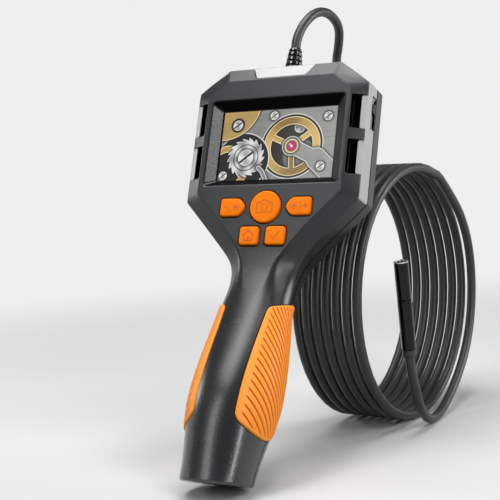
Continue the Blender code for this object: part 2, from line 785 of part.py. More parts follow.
def mirrored(name, mesh):
    """Return a copy of a mesh mirrored in the middle plane."""
    bm = bmesh.new()
    bm.from_mesh(mesh)
    for v in bm.verts:
        v.co.x = -v.co.x
    bmesh.ops.reverse_faces(bm, faces=bm.faces)
    made = bpy.data.meshes.new(name)
    bm.to_mesh(made)
    bm.free()
    return made


def make_housing_tools(shop):
    """Make the cutters that the housing's pieces share, and return them by name."""
    tools = {}
    cavity = housing_loft("cavity", -WALL, HEAD_TOP_Z - WALL, END_Z + END_WALL)
    tools["cavity"] = shop.tool("cavity", cavity)
    top = HEAD_TOP_Z + FAR
    foot = END_Z - CUT_OVER
    half_gap = GAP / 2
    front = [(-FAR, foot), *reversed(parting_line(-half_gap)),
             (FRAME_SPLIT, FRAME_FOOT_Z), (FRAME_SPLIT, top), (-FAR, top)]
    back = [*parting_line(half_gap), (FAR, foot), (FAR, top), (PARTING_DEPTH + half_gap, top)]
    middle = [(FRAME_SPLIT + GAP, FRAME_FOOT_Z + GAP), (PARTING_DEPTH - half_gap, FRAME_FOOT_Z + GAP),
              (PARTING_DEPTH - half_gap, top), (FRAME_SPLIT + GAP, top)]
    for key, outline in (("front_side", front), ("back_side", back), ("middle_side", middle)):
        tools[key] = shop.tool(key, prism(key, outline, "X", -FAR, FAR))
    shares = [(i / (POCKET_ROWS - 1)) ** POCKET_CROWD for i in range(POCKET_ROWS)]
    grip = grip_mesh("grip_pocket_right", shares, 0.0, GAP, GRIP_SUNK + GAP, 3 * GRIP_PROUD, 0.0)
    tools["grip_pocket_left"] = shop.tool("grip_pocket_left", mirrored("grip_pocket_left", grip))
    tools["grip_pocket_right"] = shop.tool("grip_pocket_right", grip)
    start, end = cell_ends()
    ribs = []
    for k in (-1, 0, 1):
        z = CELL_Z + k * RIB_STEP
        ribs.append(housing_rib("rib", z))
    tools["ribs"] = shop.tool("ribs", gather("ribs", ribs))
    tools["cell_bore"] = shop.tool("cell_bore", rod("cell_bore", start, end, CELL_WIDTH / 2 + GAP))
    bores = []
    for x, z, back_y, length in screw_places():
        head_y = back_y - SCREW_SUNK - SCREW_HEAD_THICK
        bore_end = (x, head_y - length - GAP, z)
        bores.append(rod("bore", bore_end, (x, back_y + CUT_OVER, z), SCREW_SHANK + GAP, 12))
    tools["screw_bores"] = shop.tool("screw_bores", gather("screw_bores", bores))
    sinks = []
    for x, z, back_y, _ in screw_places():
        head_y = back_y - SCREW_SUNK - SCREW_HEAD_THICK - GAP
        sinks.append(rod("sink", (x, head_y, z), (x, back_y + CUT_OVER, z), SCREW_HEAD + GAP, 16))
    tools["screw_sinks"] = shop.tool("screw_sinks", gather("screw_sinks", sinks))
    low = (0.0, RELIEF_Y, 0.0)
    high = (0.0, RELIEF_Y, HEAD_TOP_Z + CUT_OVER)
    hole = rod("relief_hole", low, high, RELIEF_NECK + GAP, ROUND_STEPS)
    tools["relief_hole"] = shop.tool("relief_hole", hole)
    return tools


def housing_rib(name, z):
    """Return a plate across the handle that fits inside its wall, for the ribs that hold the cell."""
    half = RIB_THICK / 2
    return loft(name, [housing_ring(z + half, -WALL / 2), housing_ring(z - half, -WALL / 2)])


def housing_piece(shop, tools, name, side, colour):
    """Return a piece of the hollow housing, kept on one side of the split."""
    body = housing_loft(name, 0.0, HEAD_TOP_Z, END_Z, round_ends=True)
    piece = shop.part(name, body, colour)
    boolean(piece, tools["cavity"], "DIFFERENCE")
    if side != "middle_side":
        boolean(piece, tools["ribs"], "UNION")
        boolean(piece, tools["cell_bore"], "DIFFERENCE")
    boolean(piece, tools[side], "INTERSECT")
    return piece


def make_front_shell(shop, tools):
    """Make the front shell with its screen recess, button holes, notches and screw posts."""
    shell = housing_piece(shop, tools, "front_shell", "front_side", "charcoal")
    collar = recess_block("recess_collar", RECESS_WALL, WALL / 2, RECESS_DEPTH)
    boolean(shell, shop.tool("recess_collar", collar), "UNION")
    mouth = recess_block("recess_mouth", 0.0, -CUT_OVER, RECESS_DEPTH + CUT_OVER)
    boolean(shell, shop.tool("recess_mouth", mouth), "DIFFERENCE")
    posts = []
    for x, z, back_y, _ in screw_places():
        front_y = housing_front(x, z) + WALL / 2
        posts.append(rod("post", (x, front_y, z), (x, parting(z) - GAP, z), POST_FRONT, 16))
    boolean(shell, shop.tool("front_posts", gather("front_posts", posts)), "UNION")
    boolean(shell, tools["screw_bores"], "DIFFERENCE")
    notches = [prism("notch", outline, "Y", -CUT_OVER, NOTCH_FLOOR + FRAME_SPLIT)
               for outline in notch_outlines(0.0, False)]
    notches.append(prism("notch", top_notch(0.0), "Y", -CUT_OVER, NOTCH_FLOOR + FRAME_SPLIT))
    boolean(shell, shop.tool("notches", gather("notches", notches)), "DIFFERENCE")
    holes = []
    for _, middle, outline, cornered in button_shapes():
        hole = shifted(rounded_button(outline, cornered, RUN_GAP), middle)
        holes.append(prism("hole", hole, "Y", -CUT_OVER, WALL + CUT_OVER))
    boolean(shell, shop.tool("button_holes", gather("button_holes", holes)), "DIFFERENCE")
    room_back = WALL + GAP + FLANGE_THICK + BUTTON_TRAVEL + GAP
    for name, middle, outline, cornered in button_shapes():
        room = shifted(rounded_button(outline, cornered, FLANGE_WIDTH + RUN_GAP), middle)
        room = prism(name + "_room", room, "Y", WALL, room_back)
        boolean(shell, shop.tool(name + "_room", room), "DIFFERENCE")
    for side in ("grip_pocket_left", "grip_pocket_right"):
        boolean(shell, tools[side], "DIFFERENCE")


def housing_front(x, z):
    """Return the depth of the housing's front surface at a place."""
    (face, front), (side, edge) = housing_corners(z)[0][:2]
    if abs(x) <= face:
        return front
    return mix(front, edge, (abs(x) - face) / (side - face))


def make_side_frame(shop, tools):
    """Make the light side frame, with a tongue in each notch and the floors of the slots."""
    frame = housing_piece(shop, tools, "side_frame", "middle_side", "silver")
    back = NOTCH_FLOOR + NOTCH_FLOOR_THICK
    tongues = [prism("tongue", outline, "Y", -CUT_OVER, back) for outline in notch_outlines(GAP, True)]
    tongues.append(prism("tongue", top_notch(GAP), "Y", -CUT_OVER, back))
    block = shop.tool("tongues", gather("tongues", tongues))
    skin = housing_loft("tongue_skin", -TONGUE_SUNK, HEAD_TOP_Z - TONGUE_SUNK, WAIST_Z)
    skin = shop.tool("tongue_skin", skin)
    boolean(block, skin, "INTERSECT")
    boolean(frame, block, "UNION")
    floors = []
    for outline in notch_outlines(0.0, False):
        xs = [p[0] for p in outline]
        zs = [p[1] for p in outline]
        inner = min(xs, key=abs)
        outer = math.copysign(TONGUE_INNER + 2 * GAP, inner)
        low_x, high_x = sorted((inner - math.copysign(GAP, inner), outer))
        floors.append(box("floor", (low_x, NOTCH_FLOOR, min(zs) - GAP), (high_x, back, max(zs) + GAP)))
    boolean(frame, shop.tool("slot_floors", gather("slot_floors", floors)), "UNION")
    recess = prism("slider_recess", slider_recess(), "Y", SLIDER_Y - SLIDER_RECESS_WIDTH / 2,
                   SLIDER_Y + SLIDER_RECESS_WIDTH / 2)
    boolean(frame, shop.tool("slider_recess", recess), "DIFFERENCE")
    half = STEM_HEIGHT / 2 + RUN_GAP
    reach = STEM_WIDTH / 2 + RUN_GAP
    slot = box("stem_slot",
               (HEAD_WIDTH / 2 - WALL - CUT_OVER, SLIDER_Y - reach, SLIDER_Z - SLIDER_TRAVEL - half),
               (HEAD_WIDTH / 2, SLIDER_Y + reach, SLIDER_Z + half))
    boolean(frame, shop.tool("stem_slot", slot), "DIFFERENCE")
    ports = []
    sockets = (socket_box(USB_Z, USB_HEIGHT, USB_DEPTH), socket_box(CARD_Z, CARD_HEIGHT, CARD_DEPTH))
    for low, high in sockets:
        ports.append(box("port", (-HEAD_WIDTH / 2 - CUT_OVER, low[0] - GAP, low[1] - GAP),
                         (-HEAD_WIDTH / 2 + WALL + CUT_OVER, high[0] + GAP, high[1] + GAP)))
    boolean(frame, shop.tool("ports", gather("ports", ports)), "DIFFERENCE")
    boolean(frame, tools["relief_hole"], "DIFFERENCE")


def socket_box(z, height, depth):
    """Return a socket's low and high corners in (y, z): it sits on the front of the board."""
    board = panel_depths()[3]
    return (board - GAP - depth, z - height / 2), (board - GAP, z + height / 2)


def make_back_shell(shop, tools):
    """Make the back shell with its screw posts, bores and sunk heads."""
    shell = housing_piece(shop, tools, "back_shell", "back_side", "charcoal")
    posts = []
    for x, z, back_y, _ in screw_places():
        posts.append(rod("post", (x, parting(z) + GAP, z), (x, back_y - WALL / 2, z), POST_BACK, 16))
    boolean(shell, shop.tool("back_posts", gather("back_posts", posts)), "UNION")
    boolean(shell, tools["screw_bores"], "DIFFERENCE")
    boolean(shell, tools["screw_sinks"], "DIFFERENCE")
    for side in ("grip_pocket_left", "grip_pocket_right"):
        boolean(shell, tools[side], "DIFFERENCE")
    boolean(shell, tools["relief_hole"], "DIFFERENCE")


def make_grips(shop):
    """Make the two ribbed rubber grips."""
    shares = [i / (2 * GRIP_RIBS) for i in range(2 * GRIP_RIBS + 1)]
    right = grip_mesh("grip_right", shares, GRIP_SWEEP_SHARE, 0.0, GRIP_SUNK, GRIP_PROUD, GRIP_GROOVE)
    shop.part("grip_left", mirrored("grip_left", right), "orange")
    shop.part("grip_right", right, "orange")


def make_display(shop):
    """Make the window, the gasket, the display panel and the board behind it."""
    window, gasket, panel, board = panel_depths()
    half = (SCREEN_WIDTH / 2, SCREEN_HEIGHT / 2)
    outline = rectangle(half[0] + WINDOW_LIP, half[1] + WINDOW_LIP, SCREEN_Z, 0.001)
    pane = prism("display_window", outline, "Y", window, window + WINDOW_THICK)
    shop.part("display_window", pane, "clear")
    outline = rectangle(half[0] + WINDOW_LIP, half[1] + WINDOW_LIP, SCREEN_Z, 0.001)
    seal = prism("display_gasket", outline, "Y", gasket, gasket + GASKET_THICK)
    seal = shop.part("display_gasket", seal, "black")
    edge = WINDOW_LIP - GASKET_WIDTH
    hole = rectangle(half[0] + edge, half[1] + edge, SCREEN_Z, 0.001)
    hole = prism("gasket_hole", hole, "Y", gasket - CUT_OVER, gasket + GASKET_THICK + CUT_OVER)
    boolean(seal, shop.tool("gasket_hole", hole), "DIFFERENCE")
    outline = rectangle(half[0] + PANEL_LIP, half[1] + PANEL_LIP, SCREEN_Z, 0.0005)
    shop.part("display_panel", prism("display_panel", outline, "Y", panel, panel + PANEL_THICK), "panel")
    ear = HEAD_WIDTH / 2 - WALL - BOARD_EDGE_GAP
    right = [(BOARD_HALF, BOARD_TOP_Z), (BOARD_HALF, BOARD_EAR_TOP_Z), (ear, BOARD_EAR_TOP_Z),
             (ear, BOARD_EAR_FOOT_Z), (BOARD_HALF, BOARD_EAR_FOOT_Z), (BOARD_HALF, BOARD_SHOULDER_Z),
             (BOARD_FOOT_HALF, BOARD_FOOT_Z)]
    outline = right + [(-x, z) for x, z in reversed(right)]
    shop.part("main_board", prism("main_board", outline, "Y", board, board + BOARD_THICK), "board")


def make_keypad(shop):
    """Make the five buttons and the rubber mat on the board behind them."""
    board = panel_depths()[3]
    flange_front = WALL + GAP
    flange_back = flange_front + FLANGE_THICK
    mat_back = board - GAP
    mat_front = mat_back - MAT_THICK
    post_front = flange_back + BUTTON_TRAVEL + GAP
    outline = [(MAT_TOP_HALF, MAT_TOP_Z), (MAT_FOOT_HALF, BOARD_FOOT_Z), (-MAT_FOOT_HALF, BOARD_FOOT_Z),
               (-MAT_TOP_HALF, MAT_TOP_Z)]
    mat = shop.part("keypad_mat", prism("keypad_mat", outline, "Y", mat_front, mat_back), "black")
    posts = []
    for name, middle, shape, cornered in button_shapes():
        place = Vector((middle[0], 0.0, middle[1]))
        outline = rounded_button(shape, cornered, 0.0)
        cap = prism(name, outline, "Y", -BUTTON_PROUD, flange_back - FLANGE_THICK / 2)
        button = shop.part(name, cap, "orange", place)
        bevel(button, BUTTON_EDGE, 2, 60.0)
        outline = rounded_button(shape, cornered, FLANGE_WIDTH)
        flange = prism(name + "_flange", outline, "Y", flange_front, flange_back)
        boolean(button, shop.tool(name + "_flange", flange, place), "UNION")
        post_back = (place.x, mat_front + GAP, place.z)
        posts.append(rod("post", (place.x, post_front, place.z), post_back, MAT_POST, 14))
    boolean(mat, shop.tool("mat_posts", gather("mat_posts", posts)), "UNION")


def make_switch_and_sockets(shop):
    """Make the power slide switch and the charging and card sockets."""
    wall = HEAD_WIDTH / 2
    floor = wall - SLIDER_RECESS_DEPTH
    place = Vector((wall, SLIDER_Y, SLIDER_Z))
    low = Vector((floor + GAP, SLIDER_Y - KNOB_WIDTH / 2, SLIDER_Z - KNOB_HEIGHT / 2)) - place
    high = Vector((wall - KNOB_SUNK, SLIDER_Y + KNOB_WIDTH / 2, SLIDER_Z + KNOB_HEIGHT / 2)) - place
    knob = shop.part("power_slider", box("power_slider", low, high), "charcoal", place)
    inner = wall - WALL - GAP
    low = Vector((inner, SLIDER_Y - STEM_WIDTH / 2, SLIDER_Z - STEM_HEIGHT / 2)) - place
    high = Vector((floor + 2 * GAP, SLIDER_Y + STEM_WIDTH / 2, SLIDER_Z + STEM_HEIGHT / 2)) - place
    boolean(knob, shop.tool("slider_stem", box("slider_stem", low, high), place), "UNION")
    back = panel_depths()[3] + BOARD_THICK + GAP
    right = inner - GAP
    middle = SLIDER_Z - SLIDER_TRAVEL / 2
    body = box("power_switch", (right - SWITCH_WIDTH, back, middle - SWITCH_LENGTH / 2),
               (right, back + SWITCH_DEPTH, middle + SWITCH_LENGTH / 2))
    shop.part("power_switch", body, "steel")
    left = -wall + GAP
    for name, z, height, depth, length in (
        ("usb_socket", USB_Z, USB_HEIGHT, USB_DEPTH, USB_LENGTH),
        ("card_socket", CARD_Z, CARD_HEIGHT, CARD_DEPTH, CARD_LENGTH),
    ):
        low, high = socket_box(z, height, depth)
        body = box(name, (left, low[0], low[1]), (left + length, high[0], high[1]))
        socket = shop.part(name, body, "steel")
        rim = 0.0004
        mouth = box(name + "_mouth", (left - CUT_OVER, low[0] + rim, low[1] + rim),
                    (left + length - 4 * rim, high[0] - rim, high[1] - rim))
        boolean(socket, shop.tool(name + "_mouth", mouth), "DIFFERENCE")


def make_cell_and_screws(shop):
    """Make the battery cell and the case screws."""
    start, end = cell_ends()
    shop.part("battery_cell", rod("battery_cell", start, end, CELL_WIDTH / 2), "cell")
    for number, (x, z, back_y, length) in enumerate(screw_places(), 1):
        head_back = back_y - SCREW_SUNK
        head_front = head_back - SCREW_HEAD_THICK
        name = f"case_screw_{number}"
        head = rod(name, (x, head_front, z), (x, head_back, z), SCREW_HEAD, 16)
        screw = shop.part(name, head, "steel")
        shank = rod("shank", (x, head_front - length, z), (x, head_front + GAP, z), SCREW_SHANK, 12)
        boolean(screw, shop.tool(name + "_shank", shank), "UNION")


def make_strain_relief(shop):
    """Make the ribbed strain relief, clamped between the side frame and the back shell."""
    rise = RELIEF_TOP_Z - HEAD_TOP_Z - GAP
    step = rise / RELIEF_RIBS
    groove = 0.0007
    profile = [(0.0, RELIEF_TOP_Z)]
    for k in range(RELIEF_RIBS):
        top = RELIEF_TOP_Z - k * step
        radius = mix(RELIEF_TIP, RELIEF_BASE, (k + 0.5) / RELIEF_RIBS)
        profile += [(radius, top), (radius, top - 0.62 * step)]
        if k < RELIEF_RIBS - 1:
            profile += [(radius - groove, top - 0.72 * step), (radius - groove, top - 0.92 * step)]
    under = HEAD_TOP_Z - WALL - GAP
    profile += [(RELIEF_BASE, HEAD_TOP_Z + GAP), (RELIEF_NECK, HEAD_TOP_Z + GAP), (RELIEF_NECK, under),
                (RELIEF_FLANGE, under), (RELIEF_FLANGE, under - RELIEF_FLANGE_THICK),
                (0.0, under - RELIEF_FLANGE_THICK)]
    relief = turned("strain_relief", profile, RELIEF_STEPS)
    relief.data.materials.append(shop.finishes["black"])
    relief.location = (0.0, RELIEF_Y, 0.0)
    relief.parent = shop.frame
    shop.parts.objects.link(relief)


def make_probe(shop):
    """Make the camera probe on the cable's end: collar, sleeve, cap, lamp ring and lens."""
    base = Vector(PROBE_BASE)
    along = Vector(PROBE_TIP) - base
    stand = bpy.data.objects.new("probe_axis", None)
    stand.location = base
    stand.rotation_euler = along.to_track_quat("Z", "Y").to_euler()
    stand.parent = shop.frame
    shop.parts.objects.link(stand)
    radius = PROBE_WIDTH / 2
    barrel = along.length - COLLAR_LENGTH - 2 * GAP
    cap_length = CAP_SHARE * barrel
    sleeve_low = COLLAR_LENGTH + GAP
    sleeve_high = sleeve_low + barrel - cap_length
    cap_low = sleeve_high + GAP
    tip = along.length
    seat = tip - TIP_DEPTH
    ring_top = seat + GAP + RING_THICK
    pieces = (
        ("probe_collar", "cable", [(0.0, COLLAR_LENGTH), (radius, COLLAR_LENGTH),
                                   (radius, COLLAR_LENGTH * 0.35), (COLLAR_MOUTH / 2, 0.0), (0.0, 0.0)]),
        ("probe_sleeve", "gunmetal", [(0.0, sleeve_high), (radius - BARREL_EDGE, sleeve_high),
                                      (radius, sleeve_high - BARREL_EDGE), (radius, sleeve_low),
                                      (0.0, sleeve_low)]),
        ("probe_cap", "gunmetal", [(0.0, seat), (TIP_BORE / 2, seat), (TIP_BORE / 2, tip),
                                   (radius - BARREL_EDGE, tip), (radius, tip - BARREL_EDGE),
                                   (radius, cap_low + BARREL_EDGE),
                                   (radius - BARREL_EDGE, cap_low), (0.0, cap_low)]),
        ("lamp_ring", "ring", [(LENS_WIDTH / 2 + GAP, seat + GAP), (LENS_WIDTH / 2 + GAP, ring_top),
                               (TIP_BORE / 2 - GAP, ring_top), (TIP_BORE / 2 - GAP, seat + GAP),
                               (LENS_WIDTH / 2 + GAP, seat + GAP)]),
        ("probe_lens", "glass", [(0.0, seat + GAP + LENS_THICK), (LENS_WIDTH / 2, seat + GAP + LENS_THICK),
                                 (LENS_WIDTH / 2, seat + GAP), (0.0, seat + GAP)]),
    )
    for name, colour, profile in pieces:
        made = turned(name, profile, PROBE_STEPS)
        made.data.materials.append(shop.finishes[colour])
        made.parent = stand
        shop.parts.objects.link(made)


def evaluated_points(objects):
    """Return the world points of objects as they are shown."""
    graph = bpy.context.evaluated_depsgraph_get()
    points = []
    for item in objects:
        shown = item.evaluated_get(graph)
        mesh = shown.to_mesh()
        points += [shown.matrix_world @ v.co for v in mesh.vertices]
        shown.to_mesh_clear()
    return points


def stand_on_floor(shop):
    """Lean the camera back, set its heel on the floor and centre it over the origin."""
    shop.frame.rotation_euler = (-LEAN, 0.0, 0.0)
    shop.frame.location = (0.0, 0.0, 0.0)
    bpy.context.view_layer.update()
    names = ("front_shell", "side_frame", "back_shell", "grip_left", "grip_right")
    shells = [bpy.data.objects[name] for name in names]
    points = evaluated_points(shells)
    low = min(p.z for p in points)
    middle = 0.5 * (min(p.y for p in points) + max(p.y for p in points))
    shop.frame.location = (0.0, -middle, -low)
    bpy.context.view_layer.update()
    return shop.frame.matrix_world.copy()


def smooth_curve(points, step):
    """Return points a step apart on a smooth curve through a route, by chord-length splines."""
    route = [np.array(p, dtype=float) for p in points]
    route = [2 * route[0] - route[1]] + route + [2 * route[-1] - route[-2]]
    dense = []
    for a, b, c, d in zip(route, route[1:], route[2:], route[3:]):
        t1 = np.linalg.norm(b - a) ** 0.5
        t2 = t1 + np.linalg.norm(c - b) ** 0.5
        t3 = t2 + np.linalg.norm(d - c) ** 0.5
        for t in np.linspace(t1, t2, 24, endpoint=False):
            p1 = a * (t1 - t) / t1 + b * t / t1
            p2 = b * (t2 - t) / (t2 - t1) + c * (t - t1) / (t2 - t1)
            p3 = c * (t3 - t) / (t3 - t2) + d * (t - t2) / (t3 - t2)
            q1 = p1 * (t2 - t) / t2 + p2 * t / t2
            q2 = p2 * (t3 - t) / (t3 - t1) + p3 * (t - t1) / (t3 - t1)
            dense.append(q1 * (t2 - t) / (t2 - t1) + q2 * (t - t1) / (t2 - t1))
    dense.append(route[-2])
    dense = np.array(dense)
    lengths = np.concatenate([[0.0], np.cumsum(np.linalg.norm(np.diff(dense, axis=0), axis=1))])
    count = max(4, int(round(lengths[-1] / step)))
    wanted = np.linspace(0.0, lengths[-1], count + 1)
    return np.stack([np.interp(wanted, lengths, dense[:, k]) for k in range(3)], axis=1)


def free_run(points):
    """Return a free stretch of cable whose two ends run straight, square to what they meet."""
    return np.vstack([points[0], smooth_curve(points[1:-1], TUBE_STEP), points[-1]])


def tube(shop, name, points, resolution):
    """Make a round tube along points in the world."""
    curve = bpy.data.curves.new(name, "CURVE")
    curve.dimensions = "3D"
    curve.bevel_depth = CABLE_WIDTH / 2
    curve.bevel_resolution = resolution
    curve.use_fill_caps = True
    spline = curve.splines.new("POLY")
    spline.points.add(len(points) - 1)
    for slot, p in zip(spline.points, points):
        slot.co = (*p, 1.0)
    curve.materials.append(shop.finishes["cable"])
    made = bpy.data.objects.new(name, curve)
    shop.parts.objects.link(made)


def coil_points(place):
    """Return the coil's points in the world: a helix on the floor behind the camera."""
    middle = place @ Vector((0.0, COIL_BEHIND, COIL_BELOW))
    along = np.array((math.cos(COIL_YAW), math.sin(COIL_YAW), 0.0))
    back = np.array((-math.sin(COIL_YAW), math.cos(COIL_YAW), 0.0))
    up = np.array((0.0, 0.0, 1.0))
    half_run = 0.5 * COIL_TURNS * COIL_PITCH
    centre = np.array((COIL_START_X + half_run * along[0], middle.y, COIL_RADIUS + CABLE_WIDTH / 2))
    start = centre - along * half_run
    count = COIL_TURNS * COIL_POINTS
    points = []
    for k in range(count + 1):
        turn = k / COIL_POINTS
        angle = COIL_START + 2 * math.pi * turn
        spoke = back * math.sin(angle) + up * math.cos(angle)
        points.append(start + along * (COIL_PITCH * turn) + COIL_RADIUS * spoke)
    first = points[0] - points[1]
    last = points[-1] - points[-2]
    points.insert(0, points[0] + first / np.linalg.norm(first) * CABLE_WIDTH)
    points.append(points[-1] + last / np.linalg.norm(last) * CABLE_WIDTH)
    return np.array(points)


def least_gap(points):
    """Return the least gap between a coil's turns, measured on points along it."""
    fine = smooth_curve(points, CABLE_WIDTH / 3)
    steps = int(6 * CABLE_WIDTH / (CABLE_WIDTH / 3))
    least = math.inf
    for k in range(0, len(fine) - steps, 3):
        away = np.linalg.norm(fine[k + steps:] - fine[k], axis=1)
        least = min(least, float(away.min()))
    return least - CABLE_WIDTH


def make_cable(shop, place):
    """Make the cable: the lead over the head, the coil and the tail with the probe."""
    coil = coil_points(place)
    print(f"least gap of the coil to itself: {least_gap(coil) * 1000:.2f} mm")
    tube(shop, "cable_coil", coil, 1)
    into = (coil[1] - coil[0]) / np.linalg.norm(coil[1] - coil[0])
    out = (coil[-1] - coil[-2]) / np.linalg.norm(coil[-1] - coil[-2])
    exit_low = place @ Vector((0.0, RELIEF_Y, RELIEF_TOP_Z + GAP))
    exit_high = place @ Vector((0.0, RELIEF_Y, RELIEF_TOP_Z + GAP + CABLE_WIDTH))
    lead = [exit_low, exit_high] + [place @ Vector(p) for p in LEAD_ROUTE]
    lead = [tuple(p) for p in lead]
    lead += [tuple(coil[0] - into * (GAP + CABLE_WIDTH)), tuple(coil[0] - into * GAP)]
    tube(shop, "cable_lead", free_run(lead), 2)
    aim = (Vector(PROBE_TIP) - Vector(PROBE_BASE)).normalized()
    base = Vector(PROBE_BASE)
    tail = [tuple(coil[-1] + out * GAP), tuple(coil[-1] + out * (GAP + CABLE_WIDTH))]
    tail += [tuple(place @ Vector(p)) for p in TAIL_ROUTE]
    tail += [tuple(place @ (base - aim * (GAP + CABLE_WIDTH))), tuple(place @ (base - aim * GAP))]
    tube(shop, "cable_tail", free_run(tail), 2)


def shade(shop):
    """Shade the round pieces smooth and keep their hard edges."""
    for item in shop.parts.objects:
        if item.type == "MESH":
            item.data.shade_smooth()
            item.data.set_sharp_from_angle(angle=math.radians(35.0))


def main():
    """Build the inspection camera."""
    for item in list(bpy.data.objects):
        bpy.data.objects.remove(item)
    shop = Workshop()
    tools = make_housing_tools(shop)
    make_front_shell(shop, tools)
    make_side_frame(shop, tools)
    make_back_shell(shop, tools)
    make_grips(shop)
    make_display(shop)
    make_keypad(shop)
    make_switch_and_sockets(shop)
    make_cell_and_screws(shop)
    make_strain_relief(shop)
    make_probe(shop)
    place = stand_on_floor(shop)
    make_cable(shop, place)
    shade(shop)


main()
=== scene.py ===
"""Dress of a handheld inspection camera that leans back on its coil of probe cable.

The body's pieces are worked out in the camera's own frame (X right, Y from the screen to the back,
Z up, origin in the middle of the face's top edge) and then leaned back on to the floor.
"""

from __future__ import annotations

import json
import logging
import math
from dataclasses import dataclass, field
from enum import Enum
from typing import Any, Callable, Sequence

import bmesh
import bpy
import numpy as np
from mathutils import Matrix, Vector

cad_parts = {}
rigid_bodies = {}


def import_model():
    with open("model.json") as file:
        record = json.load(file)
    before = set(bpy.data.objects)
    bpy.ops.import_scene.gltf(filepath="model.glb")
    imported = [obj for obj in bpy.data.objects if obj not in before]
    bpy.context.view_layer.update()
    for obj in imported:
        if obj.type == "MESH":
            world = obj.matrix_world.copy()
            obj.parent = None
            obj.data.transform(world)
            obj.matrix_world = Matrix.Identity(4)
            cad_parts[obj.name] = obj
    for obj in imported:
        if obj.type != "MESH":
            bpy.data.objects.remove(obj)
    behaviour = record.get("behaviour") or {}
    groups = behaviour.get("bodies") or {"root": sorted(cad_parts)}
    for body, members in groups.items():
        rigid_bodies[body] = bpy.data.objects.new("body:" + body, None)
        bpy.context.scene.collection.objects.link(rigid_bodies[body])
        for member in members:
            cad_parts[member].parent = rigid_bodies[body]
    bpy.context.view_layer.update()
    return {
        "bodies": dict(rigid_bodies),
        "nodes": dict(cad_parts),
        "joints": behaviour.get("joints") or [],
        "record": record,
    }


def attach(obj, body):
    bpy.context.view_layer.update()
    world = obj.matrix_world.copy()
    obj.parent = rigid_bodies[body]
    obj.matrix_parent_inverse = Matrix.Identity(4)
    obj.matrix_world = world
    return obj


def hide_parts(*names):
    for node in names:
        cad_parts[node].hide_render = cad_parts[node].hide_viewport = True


LOG = logging.getLogger("inspection_camera")

# Lengths are in metres. GAP is the clearance between neighbouring pieces, OVER how far a cutter reaches
# past a surface, LEAN the angle by which the camera leans back, and STAND the place over the floor of
# its own frame's origin.
GAP = 0.0003
OVER = 0.002
LEAN = math.radians(21.5)
STAND = (0.0, 0.0407483, 0.2035298)
BODY = Matrix.Translation(STAND) @ Matrix.Rotation(-LEAN, 4, "X")

Piece = bpy.types.Object
Finish = bpy.types.Material
Socket = bpy.types.NodeSocket
Array = np.ndarray
Point = Sequence[float]
Pair = tuple[float, float]
Triple = tuple[float, float, float]
Colour = Triple
Profile = tuple[Pair, ...]
Route = tuple[Triple, ...]
Form = tuple[Array, list[list[int]]]
Mask = Callable[["Sheet"], "Ex"]


class Side(Enum):
    """The two sides of the handle."""

    LEFT = -1
    RIGHT = 1


class Part(Enum):
    """The parts that the housing is split into."""

    FRONT = 1
    MIDDLE = 2
    BACK = 3


class Join(Enum):
    """What a Boolean modifier does with another object."""

    CUT = "DIFFERENCE"
    ADD = "UNION"
    COMMON = "INTERSECT"


def math_method(operation: str, reflected: bool = False) -> Callable[..., "Ex"]:
    """Return an operator of an expression, which adds a Math node.

    Args:
        operation: The Math node's operation.
        reflected: Whether the expression is the last term, as in 1 - mask.

    Returns:
        A method that takes the other terms.
    """

    def method(self: "Ex", *others: Any) -> "Ex":
        """Add the node over this expression and the others."""
        return self.sheet.math(operation, *((*others, self) if reflected else (self, *others)))

    return method


class Ex:
    """A shader socket that takes part in Python expressions; each operator adds a Math node.

    A comparison gives 1 or 0, and | and & give the larger and the smaller of two masks.
    """

    __add__, __radd__ = math_method("ADD"), math_method("ADD", True)
    __sub__, __rsub__ = math_method("SUBTRACT"), math_method("SUBTRACT", True)
    __mul__, __rmul__ = math_method("MULTIPLY"), math_method("MULTIPLY", True)
    __truediv__, __abs__ = math_method("DIVIDE"), math_method("ABSOLUTE")
    __gt__, __lt__ = math_method("GREATER_THAN"), math_method("LESS_THAN")
    __or__, __and__ = math_method("MAXIMUM"), math_method("MINIMUM")

    def __init__(self, sheet: "Sheet", socket: Socket) -> None:
        """Keep the socket and the sheet that owns it."""
        self.sheet, self.socket = sheet, socket


